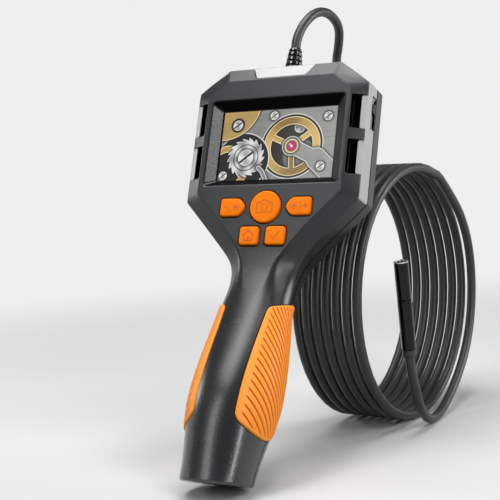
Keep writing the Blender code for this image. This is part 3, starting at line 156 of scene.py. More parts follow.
class Sheet:
    """A material's node tree, with one way to add any node and helpers for patterns."""

    def __init__(self, name: str) -> None:
        """Start a material with a Principled shader."""
        self.material = bpy.data.materials.new(name)
        self.material.use_nodes = True
        self.tree = self.material.node_tree
        self.shader = self.tree.nodes["Principled BSDF"]

    def node(self, kind: str, settings: dict[str, Any] | None = None, out: int | str = 0,
             **inputs: Any) -> Ex:
        """Add a node.

        Args:
            kind: The node's type name.
            settings: Properties to set before its sockets.
            out: The output to return.
            inputs: Socket values or expressions; a name's underscores are spaces, and i0 is socket 0.

        Returns:
            The chosen output as an expression.
        """
        made = self.tree.nodes.new(kind)
        for key, value in (settings or {}).items():
            setattr(made, key, value)
        for key, value in inputs.items():
            numbered = key[0] == "i" and key[1:].isdigit()
            self.feed(made.inputs[int(key[1:]) if numbered else key.replace("_", " ")], value)
        return Ex(self, made.outputs[out])

    def feed(self, slot: Socket, value: Any) -> None:
        """Link an expression to a socket, or set the socket's value.

        Args:
            slot: The socket.
            value: An expression, a number or a colour, whose alpha is 1 if it has none.
        """
        if isinstance(value, Ex):
            self.tree.links.new(value.socket, slot)
        else:
            slot.default_value = (*value, 1.0) if slot.type == "RGBA" and len(value) == 3 else value

    def math(self, operation: str, *terms: Any) -> Ex:
        """Add a Math node over expressions and numbers."""
        inputs = {f"i{k}": term for k, term in enumerate(terms)}
        return self.node("ShaderNodeMath", {"operation": operation}, **inputs)

    def point(self) -> Ex:
        """Return the point's Object coordinates."""
        return self.node("ShaderNodeTexCoord", out="Object")

    def place(self) -> tuple[Ex, Ex, Ex]:
        """Return the point's coordinates in the camera's own frame.

        The row frame's point is moved to the stand's origin and turned back by the lean.

        Returns:
            Expressions of x, y and z, in metres.
        """
        split = self.node("ShaderNodeSeparateXYZ", i0=self.point())
        x, y, z = (Ex(self, socket) for socket in split.socket.node.outputs)
        y, z = y - STAND[1], z - STAND[2]
        c, s = math.cos(LEAN), math.sin(LEAN)
        return x, y * c - z * s, y * s + z * c

    def noise(self, scale: float, detail: float = 2.0, rough: float = 0.5, at: Ex | None = None) -> Ex:
        """Return a noise value about 0.5, on Object coordinates or at another place."""
        return self.node("ShaderNodeTexNoise", out="Fac", Vector=at or self.point(), Scale=scale,
                         Detail=detail, Roughness=rough)

    def mix(self, share: Ex, low: Colour | Ex, high: Colour | Ex) -> Ex:
        """Return a colour between two colours: sockets 6 and 7 of a Mix node, and output 2."""
        return self.node("ShaderNodeMix", {"data_type": "RGBA"}, out=2, i0=share, i6=low, i7=high)

    def step(self, value: Ex, low: float, high: float) -> Ex:
        """Return 0 below low and 1 above high, smoothly."""
        return self.node("ShaderNodeMapRange", {"interpolation_type": "SMOOTHSTEP"}, Value=value,
                         From_Min=low, From_Max=high)

    def bump(self, height: Ex, strength: float, distance: float, edge: float = 0.0) -> Ex:
        """Return a normal from a height.

        Args:
            height: The relief, from 0 to 1.
            strength: How much of it shows.
            distance: The relief's depth.
            edge: The radius to which edges are rounded in shading, if any.

        Returns:
            The normal.
        """
        inputs: dict[str, Any] = {"Height": height, "Strength": strength, "Distance": distance}
        if edge > 0.0:
            inputs["Normal"] = self.node("ShaderNodeBevel", {"samples": 4}, Radius=edge)
        return self.node("ShaderNodeBump", **inputs)

    def set(self, **sockets: Any) -> None:
        """Feed the Principled shader's sockets, whose names have underscores for spaces."""
        for key, value in sockets.items():
            self.feed(self.shader.inputs[key.replace("_", " ")], value)


def toned(colour: Colour, factor: float) -> Colour:
    """Return a colour made darker or lighter by a factor, with channels of at most 1."""
    return tuple(min(1.0, channel * factor) for channel in colour)


@dataclass(frozen=True)
class MouldedPlastic:
    """Injection-moulded plastic with a fine eroded texture and softly broken edges.

    Its masks, where given, tell where the grain is coarse, where wear has polished it, where its tone
    is deeper (darker on the handle, painted shade on the screen recess's walls), and where it is black:
    the lamp ring's own black, and painted shade in slots, gaps and recesses.
    """

    name: str
    colour: Colour
    rough: float = 0.45
    grain: float = 2200.0
    relief: float = 0.32
    edge: float = 0.0004
    swing: float = 0.16
    gloss: float = 0.5
    flake: float = 0.0
    coarse: Mask | None = None
    polish: Mask | None = None
    deep: Mask | None = None
    black_and_shade_mask: Mask | None = None
    black_and_shade_colour: Colour = (0.002, 0.002, 0.002)

    def make(self) -> Finish:
        """Return the material: clouds and grain in its tone and gloss, changed where the masks say so."""
        sheet = Sheet(self.name)
        cloud = sheet.noise(38.0, 4.0)
        fine = sheet.noise(self.grain, 3.0, 0.6)
        colour = sheet.mix(cloud * 0.4 + fine * 0.6, toned(self.colour, 1.0 - self.swing),
                           toned(self.colour, 1.0 + self.swing))
        metal: Ex | float = self.flake
        rough = self.rough + (fine - 0.5) * 0.16 + (cloud - 0.5) * 0.08
        height = fine
        if self.coarse is not None:
            more = self.coarse(sheet)
            rough = rough + (1.0 - more) * 0.05
            height = fine * (more * 0.7 + 0.6)
        if self.polish is not None:
            sheet.set(Coat_Roughness=0.2, Coat_Weight=self.polish(sheet) * 0.7)
        # Deeper tone: darker on the handle, and painted shade on the screen recess's walls.
        if self.deep is not None:
            tone_and_recess_shade = self.deep(sheet)
            colour = sheet.mix(tone_and_recess_shade, colour, toned(self.colour, 0.25))
            rough = rough - tone_and_recess_shade * 0.05
        # Black-and-shade mask: black parts keep their own black; slots, gaps and recess walls get painted
        # shade.
        if self.black_and_shade_mask is not None:
            black_and_shade = self.black_and_shade_mask(sheet)
            colour = sheet.mix(black_and_shade, colour, self.black_and_shade_colour)
            metal = black_and_shade * (1.0 - self.flake) + self.flake
            rough = rough + black_and_shade * 0.5
        sheet.set(Base_Color=colour, Metallic=metal, Roughness=rough, Specular_IOR_Level=self.gloss,
                  Normal=sheet.bump(height, self.relief, 0.0004, self.edge))
        return sheet.material


@dataclass(frozen=True)
class SoftRubber:
    """Soft-touch rubber with a faint skin, with painted shade in its grooves where a depth attribute says so.
    """

    name: str
    colour: Colour
    # Colour of the painted shade in the grooves.
    deep: Colour | None = None
    rough: float = 0.5
    grain: float = 1900.0
    gloss: float = 0.5
    coat: float = 0.0

    def make(self) -> Finish:
        """Return the material: clouds and grain in its tone, painted shade in its grooves where given, and
        grain in its gloss.
        """
        sheet = Sheet(self.name)
        fine = sheet.noise(self.grain, 3.0, 0.6)
        cloud = sheet.noise(30.0, 3.0)
        colour = sheet.mix(cloud * 0.7 + fine * 0.3, toned(self.colour, 0.93), self.colour)
        if self.deep is not None:
            # Painted shade in the grooves, by the stored groove depth.
            groove = sheet.node("ShaderNodeAttribute", {"attribute_name": "groove"}, out="Fac")
            colour = sheet.mix(groove, colour, self.deep)
        sheet.set(Base_Color=colour, Roughness=self.rough + (fine - 0.5) * 0.14,
                  Specular_IOR_Level=self.gloss, Coat_Weight=self.coat,
                  Normal=sheet.bump(fine, 0.12, 0.00015))
        return sheet.material


@dataclass(frozen=True)
class Metal:
    """Plated or polished metal with fine turning marks; its painted light patch, if any, is dull, in a fixed
    tone: dark for painted shade, light for a painted highlight.
    """

    name: str
    colour: Colour
    rough: float = 0.2
    metallic: float = 1.0
    coat: float = 0.0
    painted_light_patch: Mask | None = None
    tone: float = 0.006

    def make(self) -> Finish:
        """Return the material: clouds in its tone, and clouds and grain in its gloss."""
        sheet = Sheet(self.name)
        cloud = sheet.noise(55.0, 4.0)
        fine = sheet.noise(1500.0, 2.0)
        colour = sheet.mix(cloud, toned(self.colour, 0.85), self.colour)
        rough = self.rough + (cloud - 0.5) * 0.08 + (fine - 0.5) * 0.05
        # Painted light patch: a fixed tone, dark for painted shade in openings, light for a painted highlight
        # on a rim.
        if self.painted_light_patch is not None:
            mask = self.painted_light_patch(sheet)
            colour = sheet.mix(mask, colour, (self.tone, self.tone, self.tone))
            rough = rough + mask * 0.3
        sheet.set(Base_Color=colour, Roughness=rough, Metallic=self.metallic, Coat_Weight=self.coat,
                  Normal=sheet.bump(fine, 0.05, 0.0001))
        return sheet.material


@dataclass(frozen=True)
class CableJacket:
    """Extruded cable jacket, semi-gloss, with faint scuffs."""

    name: str = "cable_jacket_skin"
    colour: Colour = (0.032, 0.031, 0.030)
    rough: float = 0.38
    gloss: float = 0.42

    def make(self) -> Finish:
        """Return the material: clouds and scuffs in its tone, and scuffs in its gloss."""
        sheet = Sheet(self.name)
        scuff = sheet.noise(260.0, 5.0, 0.65)
        fine = sheet.noise(2400.0, 2.0)
        cloud = sheet.noise(24.0, 2.0)
        worn = cloud * 0.5 + sheet.step(scuff, 0.5, 0.75) * 0.5
        sheet.set(Base_Color=sheet.mix(worn, toned(self.colour, 0.8), toned(self.colour, 1.3)),
                  Roughness=self.rough + (scuff - 0.5) * 0.07, Specular_IOR_Level=self.gloss,
                  Normal=sheet.bump(fine, 0.08, 0.00012))
        return sheet.material


@dataclass
class Canvas:
    """A flat picture in millimetres, painted layer by layer where a distance is under a limit."""

    sheet: Sheet
    x: Ex
    z: Ex
    colour: Ex
    shadow: Colour = (0.012, 0.012, 0.013)
    edge: Colour = (0.03, 0.03, 0.03)

    def away(self, cx: float, cz: float) -> Ex:
        """Return the distance to a point."""
        dx, dz = self.x - cx, self.z - cz
        return self.sheet.math("SQRT", dx * dx + dz * dz)

    def turn(self, cx: float, cz: float) -> Ex:
        """Return the angle about a point, in radians."""
        return self.sheet.math("ARCTAN2", self.z - cz, self.x - cx)

    def strip(self, start: Pair, end: Pair) -> Ex:
        """Return the distance to the line between two points.

        Args:
            start: Where the line starts.
            end: Where it ends.

        Returns:
            The distance to the nearest point of the line, a share t of the way along it.
        """
        (ax, az), (bx, bz) = start, end
        run = (bx - ax) ** 2 + (bz - az) ** 2
        t = ((self.x - ax) * (bx - ax) + (self.z - az) * (bz - az)) / run
        t = (t | 0.0) & 1.0
        dx, dz = self.x - ax - t * (bx - ax), self.z - az - t * (bz - az)
        return self.sheet.math("SQRT", dx * dx + dz * dz)

    def lay(self, value: Ex, limit: float, paint: Any, soft: float = 0.12, weight: float = 1.0) -> None:
        """Paint where a value is under a limit."""
        mask = (1.0 - self.sheet.step(value, limit - soft, limit + soft)) * weight
        self.colour = self.sheet.mix(mask, self.colour, paint)

    def part(self, value: Ex, limit: float, paint: Any, rim: Colour = (0.86, 0.86, 0.83)) -> None:
        """Paint a raised piece: its shadow, its dark edge, its polished rim and its face.

        Args:
            value: A distance that is under the limit on the piece.
            limit: The limit.
            paint: The face's colour.
            rim: The rim's colour.
        """
        self.lay(value, limit + 0.9, self.shadow, 0.9, 0.8)
        self.lay(value, limit + 0.12, self.edge)
        self.lay(value, limit - 0.05, rim)
        self.lay(value, limit - 0.42, paint)


@dataclass(frozen=True)
class ScreenPicture:
    """Lit screen: brushed steel with brass and steel wheels, bridges and a jewel, in a generic layout.

    Its places and sizes are in millimetres from the screen's middle.
    """

    name: str = "lit_screen"
    middle: float = -0.0365
    half: Pair = (34.8, 20.7)
    border: Pair = (0.9, 0.6)
    glow: float = 0.92
    wheel: Pair = (9.0, -1.5)
    spokes: tuple[float, ...] = (0.6, 2.7, 4.8)
    well: Pair = (-20.0, -9.0)
    stud: Pair = (-25.0, 12.0)
    small: Pair = (13.0, 9.0)
    ratchet: Pair = (-18.0, -7.0)
    teeth: int = 17
    screws: Profile = ((29.0, 14.5), (27.0, -13.5), (-31.0, -17.0), (-3.2, 16.5))
    ink: Colour = (0.02, 0.02, 0.02)
    pale: Colour = (0.85, 0.85, 0.82)
    gilt: Colour = (0.97, 0.84, 0.5)
    frame: Colour = (0.004, 0.004, 0.005)

    def make(self) -> Finish:
        """Return the material: discs, rings, spokes and teeth, masked by distances to their middles."""
        sheet = Sheet(self.name)
        x, _, z = sheet.place()
        x, z = x * 1000.0, (z - self.middle) * 1000.0
        lines = sheet.noise(1.0, 3.0, 0.7, sheet.node("ShaderNodeCombineXYZ", i0=x * 0.05, i1=z * 2.6))
        cloud = sheet.noise(90.0, 3.0)
        plate = sheet.mix(lines * 0.8 + cloud * 0.2 + x * 0.004, (0.045, 0.045, 0.045), (0.50, 0.50, 0.49))
        gold = sheet.mix(lines * 0.7 + cloud * 0.5 - 0.1, (0.24, 0.145, 0.035), (0.72, 0.50, 0.20))
        view = Canvas(sheet, x, z, plate)

        def fan(middle: Point, beams: float, low: Colour, high: Colour) -> Ex:
            """Return a turned face's paint, whose bright beams fan out from its middle."""
            wave = sheet.math("SINE", view.turn(*middle) * beams + cloud * 2.5) * 0.5 + 0.5
            return sheet.mix(wave * 0.75 + lines * 0.25, low, high)

        def cavity(middle: Point, radius: float, floor: Colour) -> None:
            """Paint a round dark cavity with a bright rim."""
            view.lay(view.away(*middle), radius + 0.5, self.pale)
            view.lay(view.away(*middle), radius, floor, 0.25)

        # The spoked wheel in its cavity.
        cavity(self.wheel, 18.1, (0.022, 0.020, 0.018))
        view.lay(view.away(14.0, -7.0), 9.5, sheet.mix(lines, (0.05, 0.05, 0.05), (0.26, 0.26, 0.25)), 0.5)
        view.part(view.away(*self.small), 3.2, fan(self.small, 3.0, (0.1, 0.1, 0.1), (0.6, 0.6, 0.6)))
        cx, cz = self.wheel
        ring = abs(view.away(cx, cz) - 14.6) - 2.3
        for angle in self.spokes:
            spoke = view.strip(self.wheel, (cx + 15 * math.cos(angle), cz + 15 * math.sin(angle)))
            ring = ring & (spoke - 1.7)
        brass = fan(self.wheel, 2.0, (0.20, 0.115, 0.025), (0.80, 0.54, 0.19))
        view.part(ring & (view.away(cx, cz) - 4.6), 0.0, brass, self.gilt)
        # The second cavity with a brass arc, and the brass corner with its stud.
        cavity(self.well, 15.9, (0.020, 0.018, 0.017))
        arc = (abs(view.away(-29.0, -13.0) - 11.5) - 2.0) | (view.away(*self.well) - 15.9)
        view.part(arc, 0.0, gold, self.gilt)
        view.part(view.away(-33.0, 25.0), 21.5, gold, (0.95, 0.82, 0.5))
        view.lay(view.away(*self.stud), 4.2, (0.03, 0.026, 0.02), 0.3)
        view.part(view.away(*self.stud), 3.0, fan(self.stud, 2.0, (0.25, 0.25, 0.25), (0.85, 0.85, 0.85)))
        view.lay(view.strip((-27.0, 10.6), (-23.0, 13.4)), 0.45, self.ink)
        # The steel bridge over the wheel, with the jewel.
        arm = (view.strip((40.0, -24.0), (24.0, -9.0)) - 6.0) & (view.strip((24.0, -9.0), self.wheel) - 4.2)
        view.part(arm & (view.away(cx, cz) - 5.6), 0.0, plate)
        view.part(view.away(cx, cz), 4.1, gold, self.gilt)
        view.lay(view.away(cx, cz), 2.9, (0.16, 0.004, 0.05))
        view.lay(view.away(cx, cz), 2.5, (0.50, 0.012, 0.19), 0.5)
        view.lay(view.away(cx, cz), 0.75, (0.9, 0.82, 0.8))
        view.lay(view.away(8.1, -0.5), 0.5, (1.0, 0.7, 0.8), 0.3)
        # The ratchet wheel with its spring.
        tooth = sheet.math("FRACT", view.turn(*self.ratchet) * (self.teeth / (2 * math.pi)) + 10.0)
        saw = view.away(*self.ratchet) - 1.9 * tooth
        view.part(saw, 9.6, fan(self.ratchet, 5.0, (0.20, 0.20, 0.21), (0.86, 0.86, 0.86)))
        view.lay(abs(view.away(*self.ratchet) - 7.4), 0.28, (0.05, 0.05, 0.05))
        bright = (0.92, 0.92, 0.9)
        view.part(view.away(*self.ratchet), 4.7, fan(self.ratchet, 2.0, (0.32, 0.32, 0.32), bright))
        view.lay(view.strip((-21.4, -9.6), (-14.6, -4.4)), 0.62, self.ink)
        spring = view.strip((-2.5, -24.0), (-7.4, -15.2)) & view.strip((-7.4, -15.2), (-9.6, -13.2))
        view.part(spring, 1.3, plate)
        for sx, sz in self.screws:
            view.part(view.away(sx, sz), 2.5, fan((sx, sz), 2.0, (0.30, 0.30, 0.30), bright))
            view.lay(view.strip((sx - 1.6, sz - 1.1), (sx + 1.6, sz + 1.1)), 0.34, self.ink)
        within = [1.0 - sheet.step(abs(value), half - self.border[0], half - self.border[1])
                  for value, half in zip((x, z), self.half)]
        inside = within[0] & within[1]
        sheet.set(Base_Color=sheet.mix(inside, self.frame, self.ink), Roughness=0.08 + (cloud - 0.5) * 0.03,
                  Emission_Color=sheet.mix(inside, self.frame, view.colour), Emission_Strength=self.glow,
                  Specular_IOR_Level=0.1)
        return sheet.material


def quads(rows: int, columns: int, around: bool = False) -> Array:
    """Return the faces of a grid of points, row by row.

    Args:
        rows: Points along the first parameter.
        columns: Points along the second.
        around: Whether the second parameter closes on itself.

    Returns:
        An array of four indices for each face.
    """
    spans = columns if around else columns - 1
    i, j = np.meshgrid(np.arange(rows - 1), np.arange(spans), indexing="ij")
    here, ahead = i * columns + j, i * columns + (j + 1) % columns
    return np.stack([here, ahead, ahead + columns, here + columns], -1).reshape(-1, 4)


def placed(name: str, data: Any) -> Piece:
    """Return a new object of the scene with this data."""
    made = bpy.data.objects.new(name, data)
    bpy.context.scene.collection.objects.link(made)
    return made


def build(name: str, points: Array, faces: Sequence[Sequence[int]], smooth: float | None = None,
          frame: Matrix | None = None) -> Piece:
    """Return an object from points and faces, with its normals pointing out.

    Args:
        name: The piece's name.
        points: Points in the camera's own frame, or in the row frame if frame is the identity.
        faces: Lists of point indices.
        smooth: Edges sharper than this many degrees stay hard; None shades flat.
        frame: Where the points go; the leaning body by default.

    Returns:
        The linked object, at the origin.
    """
    mesh = bpy.data.meshes.new(name)
    corners = np.asarray(points, float).reshape(-1, 3).tolist()
    mesh.from_pydata(corners, [], [list(map(int, face)) for face in faces])
    bm = bmesh.new()
    bm.from_mesh(mesh)
    bmesh.ops.remove_doubles(bm, verts=bm.verts, dist=1e-7)
    bmesh.ops.recalc_face_normals(bm, faces=bm.faces)
    bm.to_mesh(mesh)
    bm.free()
    mesh.transform(BODY if frame is None else frame)
    made = placed(name, mesh)
    if smooth is not None:
        shade(made, smooth)
    return made


def shade(piece: Piece, angle: float) -> None:
    """Shade a piece smooth, apart from edges sharper than an angle in degrees."""
    piece.data.shade_smooth()
    piece.data.set_sharp_from_angle(angle=math.radians(angle))


def carve(piece: Piece, cutter: Piece, join: Join = Join.CUT, keep: bool = False) -> None:
    """Cut, join or intersect a piece with another at once.

    Args:
        piece: The piece, whose mesh is replaced.
        cutter: The other object.
        join: What is done with it.
        keep: Whether the other object stays for a further cut.
    """
    tool = piece.modifiers.new("cut", "BOOLEAN")
    tool.operation = join.value
    tool.object = cutter
    tool.solver = "EXACT"
    graph = bpy.context.evaluated_depsgraph_get()
    old = piece.data
    fresh = bpy.data.meshes.new_from_object(piece.evaluated_get(graph))
    piece.modifiers.clear()
    piece.data = fresh
    bpy.data.meshes.remove(old)
    if not keep:
        bpy.data.objects.remove(cutter)


def dress(piece: Piece, finish: Finish) -> None:
    """Give a piece its finish and report it.

    Args:
        piece: The piece, or a CAD node whose form stays as it is.
        finish: Its material.
    """
    piece.data.materials.clear()
    piece.data.materials.append(finish)
    LOG.info("%s in %s", piece.name, finish.name)


def fit(piece: Piece, finish: Finish, body: str, slot: str, *nodes: str) -> Piece:
    """Args:
        piece: The piece.
        finish: Its material.
        body: The body that it rides on.
        slot: Its material slot; not used.
        nodes: The CAD nodes that it replaces, if any.

    Returns:
        The piece.
    """
    dress(piece, finish)
    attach(piece, body)
    if nodes:
        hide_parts(*nodes)
    return piece


def circle(radius: float, steps: int) -> Array:
    """Return points of a circle about the origin, anticlockwise."""
    turn = np.linspace(0.0, 2.0 * np.pi, steps, endpoint=False)
    return np.column_stack([np.cos(turn), np.sin(turn)]) * radius


def box(low: Point, high: Point) -> Array:
    """Return a rectangle's corners, anticlockwise from the lower left one."""
    return np.array([low, (high[0], low[1]), high, (low[0], high[1])], float)


def at_depth(outline: Array, y: float, middle: Point = (0.0, 0.0)) -> Array:
    """Return an outline in (x, z) as points at a depth, about a middle."""
    return np.column_stack([outline[:, 0] + middle[0], np.full(len(outline), y), outline[:, 1] + middle[1]])


def stacked(rows: Sequence[Array] | Array) -> Form:
    """Return the form through closed outlines, one after another, with flat ends.

    Args:
        rows: Outlines with equal counts of points.

    Returns:
        Points and faces.
    """
    grid = np.asarray(rows, float)
    levels, count = grid.shape[:2]
    faces = quads(levels, count, True).tolist()
    faces += [list(range(count))[::-1], list(range((levels - 1) * count, levels * count))]
    return grid.reshape(-1, 3), faces


def walled(outer: Array, inner: Array) -> Form:
    """Return the closed form between two grids of points, with a wall round their rims.

    Args:
        outer: The upper grid.
        inner: The lower grid, of the same shape.

    Returns:
        Points, the upper grid's first, and faces.
    """
    rows, columns = outer.shape[:2]
    count = rows * columns
    index = np.arange(count).reshape(rows, columns)
    rim = np.concatenate([index[0, :-1], index[:-1, -1], index[-1, :0:-1], index[:0:-1, 0]])
    ahead = np.roll(rim, -1)
    wall = np.stack([rim, ahead, ahead + count, rim + count], -1)
    grid = quads(rows, columns)
    points = np.concatenate([outer.reshape(-1, 3), inner.reshape(-1, 3)])
    return points, np.concatenate([grid, (grid + count)[:, ::-1], wall]).tolist()


def drum(profile: Sequence[Point] | Array, steps: int) -> Form:
    """Return a turned form, with flat ends.

    Args:
        profile: Each (radius, height), which goes round Z.
        steps: The count of equal steps in a turn.

    Returns:
        Points and faces.
    """
    r, z = np.asarray(profile, float).T[..., None]
    x, y = circle(1.0, steps).T
    return stacked(np.stack([r * x, r * y, np.repeat(z, steps, 1)], -1))


def prism(outline: Array, low: float, high: float, along_x: bool = False) -> Form:
    """Return an outline carried straight along Y, or along X.

    Args:
        outline: Points in (x, z), or in (y, z) along X.
        low: Where it starts.
        high: Where it ends.
        along_x: Whether it runs along X.

    Returns:
        Points and faces.
    """
    rows = np.array([at_depth(np.asarray(outline, float), level) for level in (low, high)])
    return stacked(rows[..., [1, 0, 2]] if along_x else rows)


def lifted(form: Form, by: Point) -> Form:
    """Return a form moved by a vector."""
    return form[0] + np.asarray(by), form[1]


def together(forms: Sequence[Form]) -> Form:
    """Return several forms as one.

    Args:
        forms: Their points and faces.

    Returns:
        One set of points and faces.
    """
    starts = np.cumsum([0] + [len(points) for points, _ in forms])
    faces = [[k + int(base) for k in face] for (_, their), base in zip(forms, starts) for face in their]
    return np.vstack([points for points, _ in forms]), faces


def smooth_step(low: float, high: float, value: Array) -> Array:
    """Return 0 at low and 1 at high, with level ends: 3t^2 - 2t^3."""
    t = np.clip((value - low) / (high - low), 0.0, 1.0)
    return t * t * (3.0 - 2.0 * t)


def smooth_max(a: Array, b: Array, blend: float) -> Array:
    """Return the larger of two values, rounded where they cross: (a + b + |a - b, blend|) / 2."""
    return 0.5 * (a + b + np.hypot(a - b, blend))


def rounded(points: Sequence[Point] | Array, corner: float, steps: int = 6) -> Array:
    """Return a closed outline with quadratic rounds: (1 - t)^2 start + 2 t (1 - t) corner + t^2 end.

    Args:
        points: The corners.
        corner: How far a round reaches along each edge, at most 0.48 of the edge.
        steps: Points on each round.

    Returns:
        The outline's points.
    """
    p = np.asarray(points, float)
    before, after = np.roll(p, 1, 0) - p, np.roll(p, -1, 0) - p
    size_before = np.linalg.norm(before, axis=1, keepdims=True)
    size_after = np.linalg.norm(after, axis=1, keepdims=True)
    reach = np.minimum(corner, 0.48 * np.minimum(size_before, size_after))
    start, end = p + before / size_before * reach, p + after / size_after * reach
    t = np.linspace(0.0, 1.0, steps)[None, :, None]
    curve = start[:, None] * (1 - t) ** 2 + p[:, None] * 2 * t * (1 - t) + end[:, None] * t * t
    return curve.reshape(-1, 2)


def grown(points: Array, grow: float | Array) -> Array:
    """Return closed outlines moved outwards, each corner along the sum of its edges' normals.

    Args:
        points: Corners, anticlockwise in the last two axes.
        grow: The distance.

    Returns:
        The moved corners.
    """
    along = np.roll(points, -1, -2) - points
    along = along / np.maximum(np.linalg.norm(along, axis=-1, keepdims=True), 1e-12)
    out = np.stack([along[..., 1], -along[..., 0]], -1)
    before = np.roll(out, 1, -2)
    bend = 1.0 + (before * out).sum(-1, keepdims=True)
    return points + (before + out) / np.maximum(bend, 0.25) * grow


@dataclass
class Housing:
    """Head and handle of the camera: one closed form, split into front shell, side frame and back shell."""

    width: float = 0.1028
    depth: float = 0.034
    top_z: float = 0.0086
    top_width: float = 0.069
    top_back: float = 0.0275
    shoulder_z: float = -0.00475
    side_foot_z: float = -0.0685
    face_width: float = 0.0852
    face_top_width: float = 0.0638
    face_shoulder_z: float = -0.0087
    face_foot_z: float = -0.0646
    face_low_z: float = -0.088
    face_low_width: float = 0.037
    chamfer: float = 0.0042
    back_edge: float = 0.024
    back_width: float = 0.089
    slope: float = 0.977
    edge_round: float = 0.14
    top_round: float = 0.0006
    handle_lean: float = math.radians(13.2)
    waist_z: float = -0.1055
    waist_axis: float = 0.0078
    waist: Pair = (0.0356, 0.0206)
    belly_z: float = -0.1775
    belly: Pair = (0.0458, 0.0437)
    end_z: float = -0.2205
    end: Pair = (0.0377, 0.0329)
    end_round: float = 0.0016
    neck_blend: float = 0.0058
    turn_top_z: float = -0.0892
    turn_foot_z: float = -0.1313
    front_blend: float = 0.0008
    oval_flat: float = 0.5
    oval_bevel: float = 0.3
    wall: float = 0.0022
    end_wall: float = 0.003
    frame_split: float = 0.0042
    frame_foot_z: float = -0.0695
    parting_depth: float = 0.016
    parting_behind: float = 0.0015
    corner_steps: int = 9
    mid_z: float = -0.03
    skin: float = 0.0001
    handle_tone: Pair = (-0.112, -0.070)
    worn_tone: Pair = (-0.192, -0.160)
    # Half widths of the painted shade along the parting line's gap.
    seam_shade_half: Pair = (0.00035, 0.00055)

    def axis(self, z: Array) -> Array:
        """Return the depth of the handle's leaning axis."""
        return self.waist_axis + (z - self.waist_z) * math.tan(self.handle_lean)

    def turn(self, z: Array) -> Array:
        """Return 0 on the head and 1 on the handle, with a smooth step between them."""
        return 1.0 - smooth_step(self.turn_foot_z, self.turn_top_z, z)

    def handle_half(self, z: Array, k: int) -> Array:
        """Return half the handle's width or depth, by smooth steps from waist to belly to end.

        Args:
            z: Heights.
            k: 0 for the width, 1 for the depth.

        Returns:
            The half size at each height.
        """
        upper = self.belly[k] + (self.waist[k] - self.belly[k]) * smooth_step(self.belly_z, self.waist_z, z)
        lower = self.end[k] + (self.belly[k] - self.end[k]) * smooth_step(self.end_z, self.belly_z, z)
        return 0.5 * np.where(z > self.belly_z, upper, lower)

    def corners(self, z: Array) -> tuple[Array, Array]:
        """Return the right half's corners at heights.

        Above the face's foot the head's corners run straight between its stations. Below it the side
        follows the larger of the lower diagonal and the handle, and all corners pass into the oval's.

        Args:
            z: Heights.

        Returns:
            Four corners at each height, and the share of an edge that a corner's round takes.
        """
        z = np.asarray(z, float)
        half, rear, top = self.width / 2, self.back_width / 2, self.top_width / 2
        face_half, face_top = self.face_width / 2, self.face_top_width / 2
        rise = np.clip(z / self.top_z, 0.0, 1.0)
        corner = self.top_round * 1.4
        stations = np.array([self.face_shoulder_z, self.shoulder_z, 0.0, self.top_z])
        joint = half + (top - half) * (self.shoulder_z / (self.shoulder_z - self.top_z))
        face_mid = np.interp(self.shoulder_z, [self.face_shoulder_z, 0.0], [face_half, face_top])
        side = np.interp(z, stations, [half, half, joint, top])
        head = np.array([
            np.interp(z, stations, [face_half, face_mid, face_top, top - corner]), self.chamfer * rise,
            side, self.chamfer + corner * rise,
            side, self.back_edge - corner * rise,
            np.interp(z, stations, [rear, rear, joint - (half - rear), top - 3 * corner]),
            self.depth + (self.top_back - self.depth) * rise])
        deep, axis, turn = self.handle_half(z, 1), self.axis(z), self.turn(z)
        diagonal = half - (self.side_foot_z - z) * self.slope
        side = np.minimum(half, smooth_max(diagonal, self.handle_half(z, 0), self.neck_blend))
        fall = (self.face_width - self.face_low_width) / 2 / (self.face_foot_z - self.face_low_z)
        narrow = face_half - (self.face_foot_z - z) * fall
        front = -smooth_max(np.zeros_like(z), deep - axis, self.front_blend)
        back = self.depth + (axis + deep - self.depth) * turn
        bevel = self.oval_bevel * (back - front)
        back_half = side - (half - rear)
        handle = np.array([
            np.minimum(face_half, smooth_max(narrow, self.oval_flat * side, self.neck_blend)), front,
            side, self.chamfer + (front + bevel - self.chamfer) * turn,
            side, self.back_edge + (back - bevel - self.back_edge) * turn,
            back_half + (self.oval_flat * side - back_half) * turn, back])
        low = z < self.face_foot_z
        right = np.where(low, handle, head).T.reshape(len(z), 4, 2)
        return right, np.where(low, self.edge_round + (1.0 - self.edge_round) * turn, self.edge_round)

    def rings(self, z: Array, grow: float | Array = 0.0) -> Array:
        """Return closed outlines at heights: the eight corners, grown, with quadratic rounds.

        Args:
            z: Heights.
            grow: How far each outline is moved outwards.

        Returns:
            A row of points for each height.
        """
        right, share = self.corners(z)
        left = right[:, ::-1] * np.array([-1.0, 1.0])
        full = grown(np.concatenate([right, left], 1), np.reshape(np.asarray(grow, float), (-1, 1, 1)))
        before = np.roll(full, 1, 1) - full
        after = np.roll(full, -1, 1) - full
        size_before = np.linalg.norm(before, axis=-1, keepdims=True)
        size_after = np.linalg.norm(after, axis=-1, keepdims=True)
        reach = 0.5 * np.minimum(size_before, size_after)
        mild = np.clip((share - 0.6) / 0.4, 0.0, 1.0)[:, None, None]
        reach_before = share[:, None, None] * (reach + (0.5 * size_before - reach) * mild)
        reach_after = share[:, None, None] * (reach + (0.5 * size_after - reach) * mild)
        start = full + before / size_before * reach_before
        end = full + after / size_after * reach_after
        t = ((np.arange(self.corner_steps) + 0.5) / self.corner_steps)[None, None, :, None]
        full, start, end = full[:, :, None], start[:, :, None], end[:, :, None]
        curve = start * (1 - t) ** 2 + full * 2 * t * (1 - t) + end * t * t
        flat = curve.reshape(len(full), -1, 2)
        level = np.broadcast_to(np.asarray(z, float)[:, None, None], flat[..., :1].shape)
        return np.concatenate([flat, level], -1)

